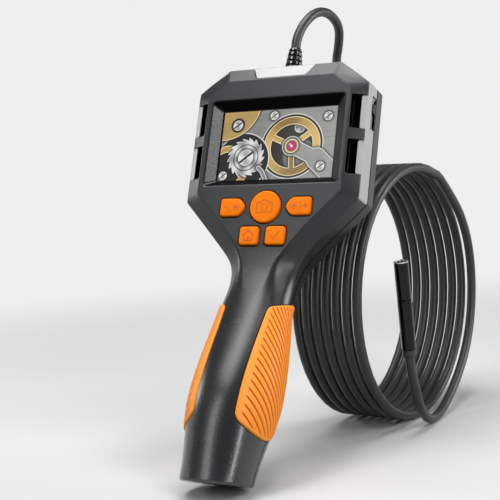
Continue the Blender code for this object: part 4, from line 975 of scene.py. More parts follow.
    def levels(self) -> Array:
        """Return the heights of the fine sections, from top to bottom."""
        head = [self.top_z - self.top_round, 0.0, self.shoulder_z, self.face_shoulder_z, self.mid_z,
                self.face_foot_z, self.side_foot_z]
        neck = np.linspace(self.side_foot_z, self.waist_z, 26)[1:]
        handle = np.linspace(self.waist_z, self.end_z + self.end_round, 42)[1:]
        return np.concatenate([head, neck, handle])

    def form(self, name: str, grow: float, top: float, foot: float, ends: bool = False) -> Piece:
        """Return the closed form through the fine sections between two heights.

        Args:
            name: The object's name.
            grow: How far the sections are moved outwards.
            top: The upper height.
            foot: The lower height.
            ends: Whether the top's edge is broken and the foot's edge rounded.

        Returns:
            The object.
        """
        z = self.levels()
        z = z[(z < top - 1e-6) & (z > foot + 1e-6)]
        spread = np.full(len(z) + 2, grow)
        if ends:
            arc = np.linspace(0.0, 0.5 * np.pi, 11)[1:]
            spread = np.concatenate([[grow - self.top_round], np.full(len(z), grow),
                                     grow - self.end_round * (1.0 - np.cos(arc))])
            z = np.concatenate([[top], z, foot + self.end_round * (1.0 - np.sin(arc))])
        else:
            z = np.concatenate([[top], z, [foot]])
        return build(name, *stacked(self.rings(z, spread)))

    def parting(self, z: Array) -> Array:
        """Return the depth of the parting line between the shells."""
        behind = self.axis(z) + self.parting_behind
        return self.parting_depth + (behind - self.parting_depth) * self.turn(z)

    def lower(self, sheet: Sheet) -> Ex:
        """Return 1 on the handle and 0 on the head, as a shader mask."""
        return 1.0 - sheet.step(sheet.place()[2], *self.handle_tone)

    def worn(self, sheet: Sheet) -> Ex:
        """Return 1 on the handle's lower half, which the palm polishes, as a shader mask."""
        return 1.0 - sheet.step(sheet.place()[2], *self.worn_tone)

    def seam(self, sheet: Sheet) -> Ex:
        """Return a shader mask of painted shade in the parting line's gap.

        Args:
            sheet: The material's sheet.

        Returns:
            1 near the line, else 0.
        """
        _, y, z = sheet.place()
        turn = 1.0 - sheet.step(z, self.turn_foot_z, self.turn_top_z)
        axis = (z - self.waist_z) * math.tan(self.handle_lean) + (self.waist_axis + self.parting_behind)
        away = abs(y - ((axis - self.parting_depth) * turn + self.parting_depth))
        return 1.0 - sheet.step(away, *self.seam_shade_half)

    def side_of(self, part: Part) -> Piece:
        """Return the block that keeps one part of the split housing.

        Args:
            part: The part.

        Returns:
            The block, whose outline in (y, z) follows the parting line.
        """
        far = 0.08
        top, foot = self.top_z + far, self.end_z - 0.002
        z = np.linspace(self.frame_foot_z, foot, 40)
        line, clear = np.stack([self.parting(z), z], -1), np.array([GAP, 0.0])
        split, behind = self.frame_split, self.parting_depth
        if part is Part.FRONT:
            outline = np.vstack([[(-far, foot)], (line - clear)[::-1],
                                 [(split, self.frame_foot_z), (split, top), (-far, top)]])
        elif part is Part.BACK:
            outline = np.vstack([line + clear, [(far, foot), (far, top), (behind + GAP, top)]])
        else:
            outline = box((split + GAP, self.frame_foot_z + GAP), (behind - GAP, top))
        return build("keep_" + part.name.lower(), *prism(outline, -far, far, True))

    def hollow(self, name: str, part: Part) -> Piece:
        """Return one part of the hollow housing.

        Args:
            name: The piece's name.
            part: The part.

        Returns:
            The piece, before its own cuts.
        """
        piece = self.form(name, -self.skin, self.top_z - self.skin, self.end_z + 2 * self.skin, True)
        carve(piece, self.form("cavity", -self.wall, self.top_z - self.wall, self.end_z + self.end_wall))
        carve(piece, self.side_of(part), Join.COMMON)
        return piece

    def oval(self, z: Array, share: Array, lift: Array) -> Array:
        """Return points on the handle's right side.

        A point lies a share of the half turn from the front, by length along the outline at its own
        height, and is lifted along the outline's outward normal.

        Args:
            z: Heights.
            share: Shares of the half turn.
            lift: Distances from the outline.

        Returns:
            The points.
        """
        table_z = np.linspace(self.waist_z + 0.01, self.end_z + 0.002, 240)
        ring = self.rings(table_z)[..., :2]
        half = ring[:, :ring.shape[1] // 2]
        middle = np.array([0.0, 1.0])
        half = np.concatenate([half[:, :1] * middle, half, half[:, -1:] * middle], 1)
        count = half.shape[1]
        step = np.linalg.norm(np.diff(half, axis=1), axis=-1)
        run = np.concatenate([np.zeros((len(table_z), 1)), np.cumsum(step, 1)], 1)
        run = run / run[:, -1:]
        wanted = np.linspace(0.0, 1.0, 120)
        below = np.clip((run[:, :, None] <= wanted).sum(1) - 1, 0, count - 2)
        row = np.arange(len(table_z))[:, None]
        a, b = run[row, below], run[row, below + 1]
        t = ((wanted - a) / np.maximum(b - a, 1e-9))[..., None]
        table = half[row, below] * (1 - t) + half[row, below + 1] * t
        along = np.gradient(table, axis=1)
        out = np.stack([along[..., 1], -along[..., 0]], -1)
        out = out / np.linalg.norm(out, axis=-1, keepdims=True)
        last_z, last_s = len(table_z) - 1, len(wanted) - 1
        fz = np.clip((table_z[0] - z) / (table_z[0] - table_z[-1]) * last_z, 0, last_z - 0.001)
        fs = np.clip(share * last_s, 0, last_s - 0.001)
        iz, js = fz.astype(int), fs.astype(int)
        tz, ts = (fz - iz)[..., None], (fs - js)[..., None]

        def between(values: Array) -> Array:
            """Return table values between their four neighbours."""
            upper = values[iz, js] * (1 - ts) + values[iz, js + 1] * ts
            lower = values[iz + 1, js] * (1 - ts) + values[iz + 1, js + 1] * ts
            return upper * (1 - tz) + lower * tz

        flat = between(table) + between(out) * lift[..., None]
        return np.concatenate([flat, z[..., None]], -1)


@dataclass
class Grip:
    """Ribbed rubber pad on one side of the handle, sunk in the shells."""

    housing: Housing
    side: Side
    top_z: float = -0.1292
    top_rise: float = 0.0046
    foot_z: float = -0.1885
    foot_drop: float = 0.0088
    front: Pair = (0.235, 0.168)
    bow: float = 0.021
    back: float = 0.74
    corner: float = 0.0034
    corner_share: float = 0.10
    proud: float = 0.0007
    groove: float = 0.0007
    sunk: float = 0.0011
    border: float = 0.045
    fall: Pair = (0.060, 0.065)
    span: float = 0.0595
    pitch: Pair = (49.6, 0.375)
    spacing: Pair = (3.2, 1.2)
    slant: Pair = (0.97, 2.1)
    cut: Pair = (0.10, 0.40)
    crown: float = 0.00035
    rim: float = 0.0011
    rim_drop: float = 0.0006
    girth: float = 0.034

    def ribs(self, d: Array, v: Array, above: Array, below: Array,
             drop: Array) -> tuple[Array, Array]:
        """Return the relief of the pad's face.

        Behind a smooth border, grooves fall from the front edge by 60 d + 65 d^2 mm at a share d of the
        half turn, at a pitch that grows towards the foot, and the ribs between them are crowned.

        Args:
            d: Shares of the half turn behind the border.
            v: Shares of the pad's width.
            above: Distances to the pad's foot.
            below: Distances to its top.
            drop: Depths under the level of its front corner.

        Returns:
            The depth of the groove from 0 to 1, and the lift of the face.
        """
        d = np.maximum(d, 0.0)
        t = np.maximum((drop - self.fall[0] * d - self.fall[1] * d * d) / self.span, -2.0)
        phase = self.pitch[0] * np.log(1.0 + self.pitch[1] * t)
        across = (self.spacing[0] + self.spacing[1] * t) / np.hypot(1.0, self.slant[0] + self.slant[1] * d)
        near = np.abs((phase + 0.5) % 1.0 - 0.5)
        fade = (smooth_step(0.0, 0.02, d) * smooth_step(0.0012, 0.0026, above)
                * smooth_step(0.0006, 0.0014, below))
        deep = (1.0 - smooth_step(*self.cut, near * across)) * fade
        rim = np.minimum(np.minimum(above, below), np.minimum(v, 1.0 - v) * self.girth) / self.rim
        rim = np.clip(rim, 0.0, 1.0)
        edge = np.sqrt(rim * (2.0 - rim))
        crown = self.crown * (1.0 - (1.0 - 2.0 * near) ** 2) * fade * smooth_step(0.05, 0.3, d)
        lift = (self.proud + self.rim_drop) * edge - self.rim_drop - self.groove * deep + crown * edge
        return deep, lift

    def sheet(self, rows: int, columns: int, clearance: float, floor: float,
              lift: float | None = None) -> tuple[Array, list[list[int]], Array]:
        """Return the pad's closed form.

        The pad's face is a grid: u runs down it, v from the front edge to the back edge. Its ends bow
        by the sine of v and have circular corners.

        Args:
            rows: Points down the face.
            columns: Points across it.
            clearance: How far the outline is grown.
            floor: The depth of the pad's back under the handle's skin.
            lift: The height of a plain face; None gives the ribbed one.

        Returns:
            Points, faces and the depth of the groove at each point, from 0 to 1.
        """
        u, v = np.meshgrid(np.linspace(0, 1, rows), 0.5 - 0.5 * np.cos(np.linspace(0, np.pi, columns)),
                           indexing="ij")
        inset = np.clip(1.0 - np.minimum(v, 1.0 - v) / self.corner_share, 0.0, 1.0)
        corner = self.corner * (1.0 - np.sqrt(1.0 - inset ** 2))
        top = self.top_z + self.top_rise * np.sin(0.5 * np.pi * v) - corner + clearance
        foot = self.foot_z - self.foot_drop * np.sin(0.85 * np.pi * v) + corner - clearance
        z = top + (foot - top) * u
        margin = clearance / self.housing.waist[0]
        front = self.front[0] + (self.front[1] - self.front[0]) * u - 4.0 * self.bow * u * (1.0 - u) - margin
        share = front + (self.back + margin - front) * v
        deep, raised = np.zeros_like(u), np.full_like(u, lift or 0.0)
        if lift is None:
            deep, raised = self.ribs(share - front - self.border, v, z - foot, top - z, self.top_z - z)
        outer = self.housing.oval(z, share, raised)
        inner = self.housing.oval(z, share, np.full_like(u, -floor))
        points, faces = walled(outer, inner)
        grooves = np.concatenate([deep.ravel(), np.zeros(deep.size)])
        return points * np.array([self.side.value, 1.0, 1.0]), faces, grooves

    def pocket(self) -> Piece:
        """Return the cutter for the pad's pocket in the shells."""
        points, faces, _ = self.sheet(30, 25, GAP, self.sunk + GAP, 0.003)
        return build("pocket", points, faces)

    def make(self, finish: Finish) -> None:
        """Build and dress the pad, and store the depth of its grooves for the finish, which paints shade in
        them.

        Args:
            finish: The pad's rubber.
        """
        side = self.side.name.lower()
        points, faces, deep = self.sheet(260, 160, 0.0, self.sunk)
        made = build(f"ribbed_grip_{side}", points, faces)
        layer = made.data.attributes.new("groove", "FLOAT", "POINT")
        if len(made.data.vertices) == len(deep):
            layer.data.foreach_set("value", deep.astype(np.float32))
        shade(made, 50.0)
        fit(made, finish, "camera", "orange_rubber", f"grip_{side}")


@dataclass
class Notches:
    """Notches in the head's chamfers, with tongues of the side frame and slots painted black as shade."""

    housing: Housing
    inner: float = 0.0432
    tongue: float = 0.0478
    height: float = 0.019
    rows: Pair = (-0.0215, -0.0465)
    floor: float = 0.0052
    floor_thick: float = 0.0017
    sunk: float = 0.0006
    top_width: float = 0.038
    foot_width: float = 0.030
    foot_z: float = 0.0009
    side_corner: float = 0.0009
    top_corner: float = 0.0008
    slot_shade_depth: float = 0.006

    def spans(self, inner: float, outer: float, half: float) -> list[Array]:
        """Return four rectangles in (x, z): two rows on both sides.

        Args:
            inner: The distance of their inner edges from the middle.
            outer: The distance of their outer edges.
            half: Half their height.

        Returns:
            Their corners.
        """
        found = []
        for z in self.rows:
            for side in Side:
                a, b = sorted((side.value * inner, side.value * outer))
                found.append(box((a, z - half), (b, z + half)))
        return found

    def outlines(self, inner: float, clearance: float) -> list[Array]:
        """Return the outlines of the four side notches and the top one, or of their tongues, in (x, z).

        Args:
            inner: The distance of the side ones' inner edges from the middle.
            clearance: How far they are shrunk.

        Returns:
            Five outlines.
        """
        housing = self.housing
        spans = self.spans(inner + clearance, housing.width / 2 + OVER, self.height / 2 - clearance)
        top, foot = housing.top_z + OVER, self.foot_z + clearance
        flare = (self.top_width - self.foot_width) / 2 / (housing.top_z - self.foot_z)
        low = self.foot_width / 2 - clearance
        high = low + flare * (top - foot)
        upper = rounded([(-low, foot), (low, foot), (high, top), (-high, top)], self.top_corner, 4)
        return [*(rounded(span, self.side_corner, 4) for span in spans), upper]

    def inside(self, sheet: Sheet, under: float) -> Ex:
        """Return a shader mask of painted shade in the slots beside the tongues.

        Args:
            sheet: The material's sheet.
            under: The depth under the chamfer's plane from which the painted shade is black.

        Returns:
            1 inside the slots, else 0.
        """
        x, y, z = sheet.place()
        x = abs(x)
        face, half = self.housing.face_width / 2, self.housing.width / 2
        depth = y - (x - face) * (self.housing.chamfer / (half - face))
        row = abs(z - self.rows[0]) & abs(z - self.rows[1])
        across = (x > self.inner - 0.0002) & (x < self.tongue + 0.0005)
        # Painted shade: the slots turn black from this depth on.
        deep = sheet.step(depth, under, under + 0.0003) & (depth < self.slot_shade_depth)
        return deep & across & (row < self.height / 2 + 0.0002)

    def cutter(self) -> Piece:
        """Return the cutter for the front shell."""
        back = self.floor + self.housing.frame_split
        forms = [prism(outline, -OVER, back) for outline in self.outlines(self.inner, 0.0)]
        return build("notches", *together(forms))

    def tongues(self) -> Piece:
        """Return the tongues, under the head's skin."""
        back = self.floor + self.floor_thick
        forms = [prism(outline, -OVER, back) for outline in self.outlines(self.tongue, GAP)]
        made = build("tongues", *together(forms))
        skin = self.housing.form("skin", -self.sunk, self.housing.top_z - self.sunk, self.housing.waist_z)
        carve(made, skin, Join.COMMON)
        return made

    def floors(self) -> Piece:
        """Return the floors of the slots, which painted shade makes black."""
        spans = self.spans(self.inner - GAP, self.tongue + 2 * GAP, self.height / 2 + GAP)
        forms = [prism(span, self.floor, self.floor + self.floor_thick) for span in spans]
        return build("floors", *together(forms))


@dataclass
class Button:
    """Orange push button with a rounded edge and an inlaid sign."""

    node: str
    body: str
    middle: Pair
    outline: Array
    sign: Callable[[], list[Form]]
    proud: float = 0.0013
    edge: float = 0.0008
    crown: float = 0.00018
    foot: float = -0.0033
    crown_at: tuple[float, ...] = (0.8, 0.55, 0.3, 0.1)

    def make(self, finish: Finish, ink: Finish) -> None:
        """Build and dress the cap and its sign.

        The cap is the outline carried inwards: rings step in by edge * (1 - cos a) while they rise by
        edge * sin a, and then run level to the middle with a slight crown.

        Args:
            finish: The cap's rubber.
            ink: The sign's.
        """
        arc = np.linspace(0.0, 0.5 * np.pi, 7)
        inset = np.concatenate([[0.0], self.edge * (1.0 - np.cos(arc))])
        shoulder = self.proud - self.edge - self.crown
        rise = np.concatenate([[self.foot], shoulder + self.edge * np.sin(arc)])
        rings = [at_depth(grown(self.outline, -d), -h, self.middle) for d, h in zip(inset, rise)]
        last = grown(self.outline, -self.edge)
        rings += [at_depth(last * share, self.crown * share ** 2 - self.proud, self.middle)
                  for share in self.crown_at]
        cap = build(self.node + "_cap", *stacked(rings), 50.0)
        fit(cap, finish, self.body, "orange_rubber", self.node)
        sign = lifted(together(self.sign()), (self.middle[0], 0.0, self.middle[1]))
        fit(build(self.node + "_sign", *sign, 40.0), ink, self.body, "orange_rubber")


@dataclass
class Signs:
    """Small inlaid signs on the buttons, as flat strokes in millimetres that stand just above the cap."""

    face: float = -0.00127
    lift: float = 0.00006
    root: float = 0.0001
    line: float = 0.42
    thin: float = 0.30

    def plate(self, outline: Array) -> Form:
        """Return a flat plate of an outline."""
        return prism(np.asarray(outline, float) * 0.001, self.face - self.lift, self.face + self.root)

    def bar(self, start: Point, end: Point, width: float) -> Form:
        """Return a straight stroke with rounded ends.

        Args:
            start: Its first point.
            end: Its last point.
            width: Its width.

        Returns:
            The stroke.
        """
        a, b = np.asarray(start, float), np.asarray(end, float)
        along = (b - a) / np.linalg.norm(b - a)
        across = np.array([-along[1], along[0]])
        turn = np.linspace(-0.5 * np.pi, 0.5 * np.pi, 7)
        cap = np.outer(np.cos(turn), along) + np.outer(np.sin(turn), across)
        return self.plate(np.vstack([b + cap * width / 2, a - cap * width / 2]))

    def disc(self, middle: Point, radius: float) -> Form:
        """Return a disc."""
        return self.plate(np.asarray(middle) + circle(radius, 24))

    def loop(self, outline: Array, width: float) -> Form:
        """Return a closed stroke along an outline, as a flat band with two walls.

        Args:
            outline: The stroke's middle line.
            width: Its width.

        Returns:
            The stroke.
        """
        outer, inner = grown(outline, width / 2) * 0.001, grown(outline, -width / 2) * 0.001
        top, low = self.face - self.lift, self.face + self.root
        rows = [at_depth(edge, y) for edge, y in
                ((outer, low), (outer, top), (inner, top), (inner, low), (outer, low))]
        return np.vstack(rows), quads(len(rows), len(outline), True).tolist()

    def sun(self, middle: Point, size: float) -> list[Form]:
        """Return a disc with eight rays.

        Args:
            middle: Its middle.
            size: The reach of its rays.

        Returns:
            Its strokes.
        """
        forms = [self.disc(middle, size * 0.42)]
        for angle in np.arange(8) * (math.pi / 4):
            ray = np.array([math.cos(angle), math.sin(angle)]) * size
            forms.append(self.bar(middle + ray * 0.66, middle + ray, self.thin))
        return forms

    def dimmer(self) -> list[Form]:
        """Less light: a short bar, a divider and a sun."""
        return [self.bar((-5.0, 0.0), (-3.0, 0.0), self.line),
                self.bar((-1.7, -2.4), (-1.7, 2.4), self.thin), *self.sun((2.0, 0.0), 2.3)]

    def brighter(self) -> list[Form]:
        """More light: a sun, a divider and an arrow."""
        arrow = [self.bar(start, (5.2, 0.0), 0.4) for start in ((2.8, 0.0), (4.2, 1.0), (4.2, -1.0))]
        return [*self.sun((-2.0, 0.0), 2.3), self.bar((1.7, -2.4), (1.7, 2.4), self.thin), *arrow]

    def capture(self) -> list[Form]:
        """A camera outline with its lens."""
        case = rounded([(-4.6, -3.1), (4.6, -3.1), (4.6, 2.3), (2.3, 2.3), (1.5, 3.5), (-1.5, 3.5),
                        (-2.3, 2.3), (-4.6, 2.3)], 0.7, 5)
        lens = circle(1.75, 28) + np.array([0.0, -0.3])
        return [self.loop(case, self.line), self.loop(lens, self.line), self.disc((3.2, 1.2), 0.36)]

    def home(self) -> list[Form]:
        """A house outline with a door."""
        walls = rounded([(-2.3, -2.7), (2.3, -2.7), (2.3, 0.5), (0.0, 2.7), (-2.3, 0.5)], 0.3, 4)
        roof = [self.bar((x, 0.2), (0.0, 3.1), self.line) for x in (-3.2, 3.2)]
        return [self.loop(walls, self.line), *roof, self.bar((0.0, -2.4), (0.0, -0.9), 0.9)]

    def confirm(self) -> list[Form]:
        """A tick."""
        return [self.bar((-2.5, 0.1), (-0.7, -1.9), 0.5), self.bar((-0.7, -1.9), (2.7, 2.1), 0.5)]


@dataclass
class Keypad:
    """The five buttons on the front face."""

    row: float = -0.0735
    lower: float = -0.0894
    row_x: float = 0.0192
    lower_x: float = 0.0077
    capture_radius: float = 0.0088
    pointed: Triple = (0.0075, 0.0049, 0.0036)
    square: Pair = (0.0056, 0.005)
    corner: float = 0.0020
    mouth: Profile = ((-0.002, 0.0026), (0.0, 0.0010), (0.0006, 0.0004), (0.0062, 0.0004))
    signs: Signs = field(default_factory=Signs)

    def buttons(self) -> list[Button]:
        """Return the buttons with their outlines about their middles, anticlockwise in (x, z)."""
        w, h, tip = self.pointed
        left = rounded([(-w, -h), (w - tip, -h), (w, 0.0), (w - tip, h), (-w, h)], self.corner, 7)
        right = (left * np.array([-1.0, 1.0]))[::-1]
        w, h = self.square
        square = rounded(box((-w, -h), (w, h)), self.corner, 7)
        rows = (("capture", (0.0, self.row), circle(self.capture_radius, 72), self.signs.capture),
                ("dimmer", (-self.row_x, self.row), left, self.signs.dimmer),
                ("brighter", (self.row_x, self.row), right, self.signs.brighter),
                ("home", (-self.lower_x, self.lower), square, self.signs.home),
                ("confirm", (self.lower_x, self.lower), square, self.signs.confirm))
        return [Button(f"button_{body}", body, middle, outline, sign) for body, middle, outline, sign in rows]

    def holes(self) -> Piece:
        """Return the cutter for the button holes, each flared at its mouth by a small chamfer."""
        forms = [stacked([at_depth(grown(button.outline, grow), y, button.middle) for y, grow in self.mouth])
                 for button in self.buttons()]
        return build("holes", *together(forms))

    def make(self, finish: Finish, ink: Finish) -> None:
        """Build and dress the buttons."""
        for button in self.buttons():
            button.make(finish, ink)


@dataclass
class Screen:
    """Sloped screen recess and the lit panel behind its window."""

    middle: float = -0.0365
    width: float = 0.0696
    height: float = 0.0414
    mouth_width: float = 0.0806
    mouth_height: float = 0.0484
    depth: float = 0.0048
    wall: float = 0.0022
    corner: float = 0.003
    lift: float = 0.0014
    collar_top: float = 0.0011
    mouth_at: Profile = ((-0.002, 0.0032), (0.0, 0.0006), (0.0007, 0.0), (0.0068, 0.0))
    # Shares of painted shade on the recess's walls: at the top and bottom ends, and on the right.
    shade_ends: float = 0.92
    shade_right: float = 0.45

    def block(self, name: str, grow: float, stops: Sequence[Pair]) -> Piece:
        """Return the recess's sloped form: rounded rectangles that narrow with depth.

        Args:
            name: The object's name.
            grow: How far all of them are grown.
            stops: Each one's depth, and how far it is grown besides.

        Returns:
            The object.
        """
        rows = []
        for y, extra in stops:
            share = y / self.depth
            half_w = (self.mouth_width + (self.width - self.mouth_width) * share) / 2 + grow + extra
            half_h = (self.mouth_height + (self.height - self.mouth_height) * share) / 2 + grow + extra
            corner = self.corner * (1.0 - 0.66 * min(max(share, 0.0), 1.0)) + grow
            ring = rounded(box((-half_w, -half_h), (half_w, half_h)), corner, 18)
            ring[:, 1] += self.middle + np.where(ring[:, 1] > 0, self.lift * (1.0 - share), 0.0)
            rows.append(at_depth(ring, y))
        return build(name, *stacked(rows))

    def collar(self) -> Piece:
        """Return the recess's wall, to be added to the shell."""
        return self.block("collar", self.wall, ((self.collar_top, 0.0), (self.depth, 0.0)))

    def mouth(self) -> Piece:
        """Return the cutter for the recess, whose mouth has a small chamfer."""
        return self.block("mouth", 0.0, self.mouth_at)

    def inside(self, sheet: Sheet) -> Ex:
        """Return 1 on the walls of the recess, as a shader mask for painted shade there."""
        x, y, z = sheet.place()
        tall = abs(z - self.middle) < self.mouth_height / 2 + self.lift
        return (abs(x) < self.mouth_width / 2) & tall & sheet.step(y, 0.0002, 0.0006)

    def recess_shade(self, sheet: Sheet) -> Ex:
        """Return a shader mask of painted shade on the recess's walls.

        Args:
            sheet: The material's sheet.

        Returns:
            How much painted shade they get: most at the top and bottom, less on the right.
        """
        x, _, z = sheet.place()
        beside = (abs(x) - self.width / 2) / (self.mouth_width - self.width)
        beyond = (abs(z - self.middle) - self.height / 2) / (self.mouth_height - self.height)
        right = (x > 0.0) & (beside > beyond)
        return self.inside(sheet) & ((beyond > beside) * self.shade_ends | right * self.shade_right)

    def make(self, picture: Finish, nodes: dict[str, Piece]) -> None:
        """Give the window its lit picture."""
        dress(nodes["display_window"], picture)


@dataclass
class PowerSwitch:
    """Slide switch in a recess of the right side."""

    housing: Housing
    z: float = -0.017
    travel: float = 0.005
    top: float = -0.0106
    foot: float = -0.0282
    y: float = 0.0128
    recess_width: float = 0.0046
    recess_depth: float = 0.0013
    end_slope: float = 0.0018
    height: float = 0.005
    width: float = 0.0036
    stem_half: float = 0.0015
    stem_deep: float = 0.0042
    stem_width: float = 0.0022
    play: float = 0.0004
    proud: float = 0.0006
    ridge: float = 0.00028
    edge: float = 0.0004
    shadow: float = 0.00035
    shadow_x: float = 0.049

    @property
    def wall(self) -> float:
        """The place of the head's right side."""
        return self.housing.width / 2

    def outline(self, sheet: Sheet) -> Ex:
        """Return a shader mask of the shadow line round the recess.

        Args:
            sheet: The material's sheet.

        Returns:
            1 near the recess's outline, else 0.
        """
        x, y, z = sheet.place()
        beside = abs(y - self.y) - self.recess_width / 2
        beyond = abs(z - (self.top + self.foot) / 2) - (self.top - self.foot) / 2
        return (abs(beside | beyond) < self.shadow) & (x > self.shadow_x)

    def recess(self) -> Piece:
        """Return the cutter for the recess, whose ends slope."""
        outer, floor = self.wall + OVER, self.wall - self.recess_depth
        run = self.end_slope / self.recess_depth * (outer - floor)
        low, high = self.foot + self.end_slope, self.top - self.end_slope
        outline = np.array([(floor, low), (outer, low - run), (outer, high + run), (floor, high)])
        half = self.recess_width / 2
        return build("recess", *prism(outline, self.y - half, self.y + half))

    def slot(self) -> Piece:
        """Return the cutter for the slot that the knob's stem slides in."""
        reach, half = self.stem_half + self.play, self.stem_width / 2
        outline = box((self.wall - self.stem_deep, self.z - self.travel - reach), (self.wall, self.z + reach))
        return build("stem_slot", *prism(outline, self.y - half, self.y + half))

    def make(self, finish: Finish) -> None:
        """Build the knob: a block whose face is waved by a cosine into ridges, with rounded edges.

        Args:
            finish: The knob's plastic.
        """
        v, u = np.meshgrid(np.linspace(-1, 1, 61), np.linspace(-1, 1, 25), indexing="ij")
        edge = np.clip((1 - np.abs(u)) * 6, 0, 1) ** 0.5 * np.clip((1 - np.abs(v)) * 12, 0, 1) ** 0.5
        ridge = (0.5 + 0.5 * np.cos(v * np.pi * 4.0)) * (np.abs(v) < 0.8)
        x = self.wall + self.proud - self.ridge * ridge - self.edge * (1 - edge)
        top = np.stack([x, self.y + u * self.width / 2, self.z + v * self.height / 2], -1)
        base = top.copy()
        base[..., 0] = self.wall - self.recess_depth + GAP
        knob = build("power_knob", *walled(top, base), 40.0)
        fit(knob, finish, "power", "charcoal_plastic", "power_slider")


@dataclass
class Fittings:
    """Openings for the two sockets on the left side and for the case screws on the back."""

    housing: Housing
    sockets: tuple[tuple[float, float, float, float], ...] = (
        (-0.026, 0.00485, 0.0066, 0.0103), (-0.043, 0.00655, 0.0075, 0.0103))
    socket_x: float = -0.044
    port_deep: float = 0.0042
    head_screws: Profile = ((0.038, -0.006), (0.040, -0.0645))
    handle_screws: tuple[float, ...] = (-0.113, -0.209)
    sink: Profile = ((0.0029, -0.0033), (0.0029, -0.0004), (0.0034, 0.0001), (0.0034, 0.003))
    cross_half: float = 0.00045
    cross_reach: float = 0.0017

    def ports(self) -> Piece:
        """Return the cutter for the socket openings: each has a height, half a length and two depths."""
        wall = -self.housing.width / 2
        forms = []
        for z, half, low, high in self.sockets:
            outline = box((wall - OVER, z - half), (wall + self.port_deep, z + half))
            forms.append(prism(rounded(outline, 0.0001, 2), low, high))
        return build("ports", *together(forms))

    def screw_places(self) -> list[Triple]:
        """Return each case screw's x, z and the depth of the back over it."""
        places = [(s * x, z, self.housing.depth) for x, z in self.head_screws for s in (-1, 1)]
        backs = self.housing.corners(np.array(self.handle_screws))[0][:, 3, 1]
        return places + [(0.0, z, float(back)) for z, back in zip(self.handle_screws, backs)]

    def opening_shade(self, sheet: Sheet) -> Ex:
        """Return a shader mask of painted shade in the screw heads' crosses and the sockets' mouths.

        Args:
            sheet: The material's sheet.

        Returns:
            1 on them, else 0.
        """
        x, y, z = sheet.place()
        usb_z, card_z = (socket[0] for socket in self.sockets)
        usb = ((abs(z - usb_z) - 0.0031) | 0.0) + abs(abs(y - 0.00845) - 0.00075)
        card = (abs(z - card_z) < 0.0056) & (abs(y - 0.0089) < 0.0007)
        found = ((usb < 0.0006) | card) & (x < self.socket_x)
        for px, pz, _ in self.screw_places():
            dx, dz = abs(x - px), abs(z - pz)
            found = found | (((dx & dz) < self.cross_half) & ((dx | dz) < self.cross_reach))
        return found

    def sinks(self) -> Piece:
        """Return the cutter for the sunk screw heads, turned about the depth axis."""
        points, faces = drum(self.sink, 32)
        forms = [(np.column_stack([points[:, 0] + x, points[:, 2] + back, points[:, 1] + z]), faces)
                 for x, z, back in self.screw_places()]
        return build("sinks", *together(forms))

    def dress_inner(self, nodes: dict[str, Piece]) -> None:
        """Dress the CAD pieces that stay as they are: seals, board, sockets, cell and screws.

        Args:
            nodes: The CAD nodes by name.
        """
        rubber = SoftRubber("seal_rubber", (0.012, 0.012, 0.012), rough=0.55).make()
        board = MouldedPlastic("board_lacquer", (0.02, 0.13, 0.05), rough=0.35, edge=0.0).make()
        # Steel: painted shade blackens the screw heads' crosses and the sockets' mouths.
        steel = Metal("plated_steel", (0.50, 0.50, 0.49), rough=0.30, painted_light_patch=self.opening_shade).make()
        wrap = MouldedPlastic("cell_sleeve", (0.07, 0.19, 0.5), rough=0.3, edge=0.0).make()
        panel = MouldedPlastic("panel_back", (0.03, 0.03, 0.032), rough=0.3, edge=0.0).make()
        screws = [f"case_screw_{number}" for number in range(1, 7)]
        for finish, names in ((rubber, ("display_gasket", "keypad_mat")), (board, ("main_board",)),
                              (steel, ("usb_socket", "card_socket", "power_switch", *screws)),
                              (wrap, ("battery_cell",)), (panel, ("display_panel",))):
            for name in names:
                dress(nodes[name], finish)


@dataclass
class StrainRelief:
    """Ribbed boot where the cable leaves the top of the head."""

    y: float = 0.0156
    top: float = 0.0232
    foot: float = 0.0089
    base: float = 0.0053
    tip: float = 0.0036
    ribs: int = 5
    rib_phase: float = 0.18
    groove: Pair = (0.0007, 0.0010)
    edge: float = 0.0006
    bore: float = 0.0027
    flange: Profile = (
        (0.0036, 0.0089), (0.0036, 0.0061), (0.0052, 0.0061), (0.0052, 0.0043), (0.0001, 0.0043))
    hole: Profile = ((0.0039, 0.0), (0.0039, 0.0106))

    def cutter(self) -> Piece:
        """Return the cutter for the boot's hole in the head."""
        return build("relief_hole", *lifted(drum(self.hole, 40), (0.0, self.y, 0.0)))

    def make(self, finish: Finish) -> None:
        """Build the boot: its radius tapers, and rounded grooves, smooth steps of a wave, part its ribs.

        Args:
            finish: The boot's rubber.
        """
        h = np.linspace(1.0, 0.0, 150)
        taper = self.tip + (self.base - self.tip) * (1.0 - h)
        wave = np.abs(((1.0 - h) * self.ribs + self.rib_phase) % 1.0 - 0.5) * 2.0
        cut = smooth_step(0.50, 0.70, wave) * (h < 0.95) * (h > 0.06)
        radius = taper - (self.groove[0] + self.groove[1] * (1.0 - h)) * cut
        radius = radius - self.edge * (1.0 - np.sqrt(np.clip((1.0 - h) * 14.0, 0.0, 1.0)))
        z = self.foot + (self.top - self.foot) * h
        profile = np.vstack([[(self.bore, self.top)], np.column_stack([radius, z]), self.flange])
        boot = build("cable_boot", *lifted(drum(profile, 48), (0.0, self.y, 0.0)), 40.0)
        fit(boot, finish, "camera", "black_rubber", "strain_relief")


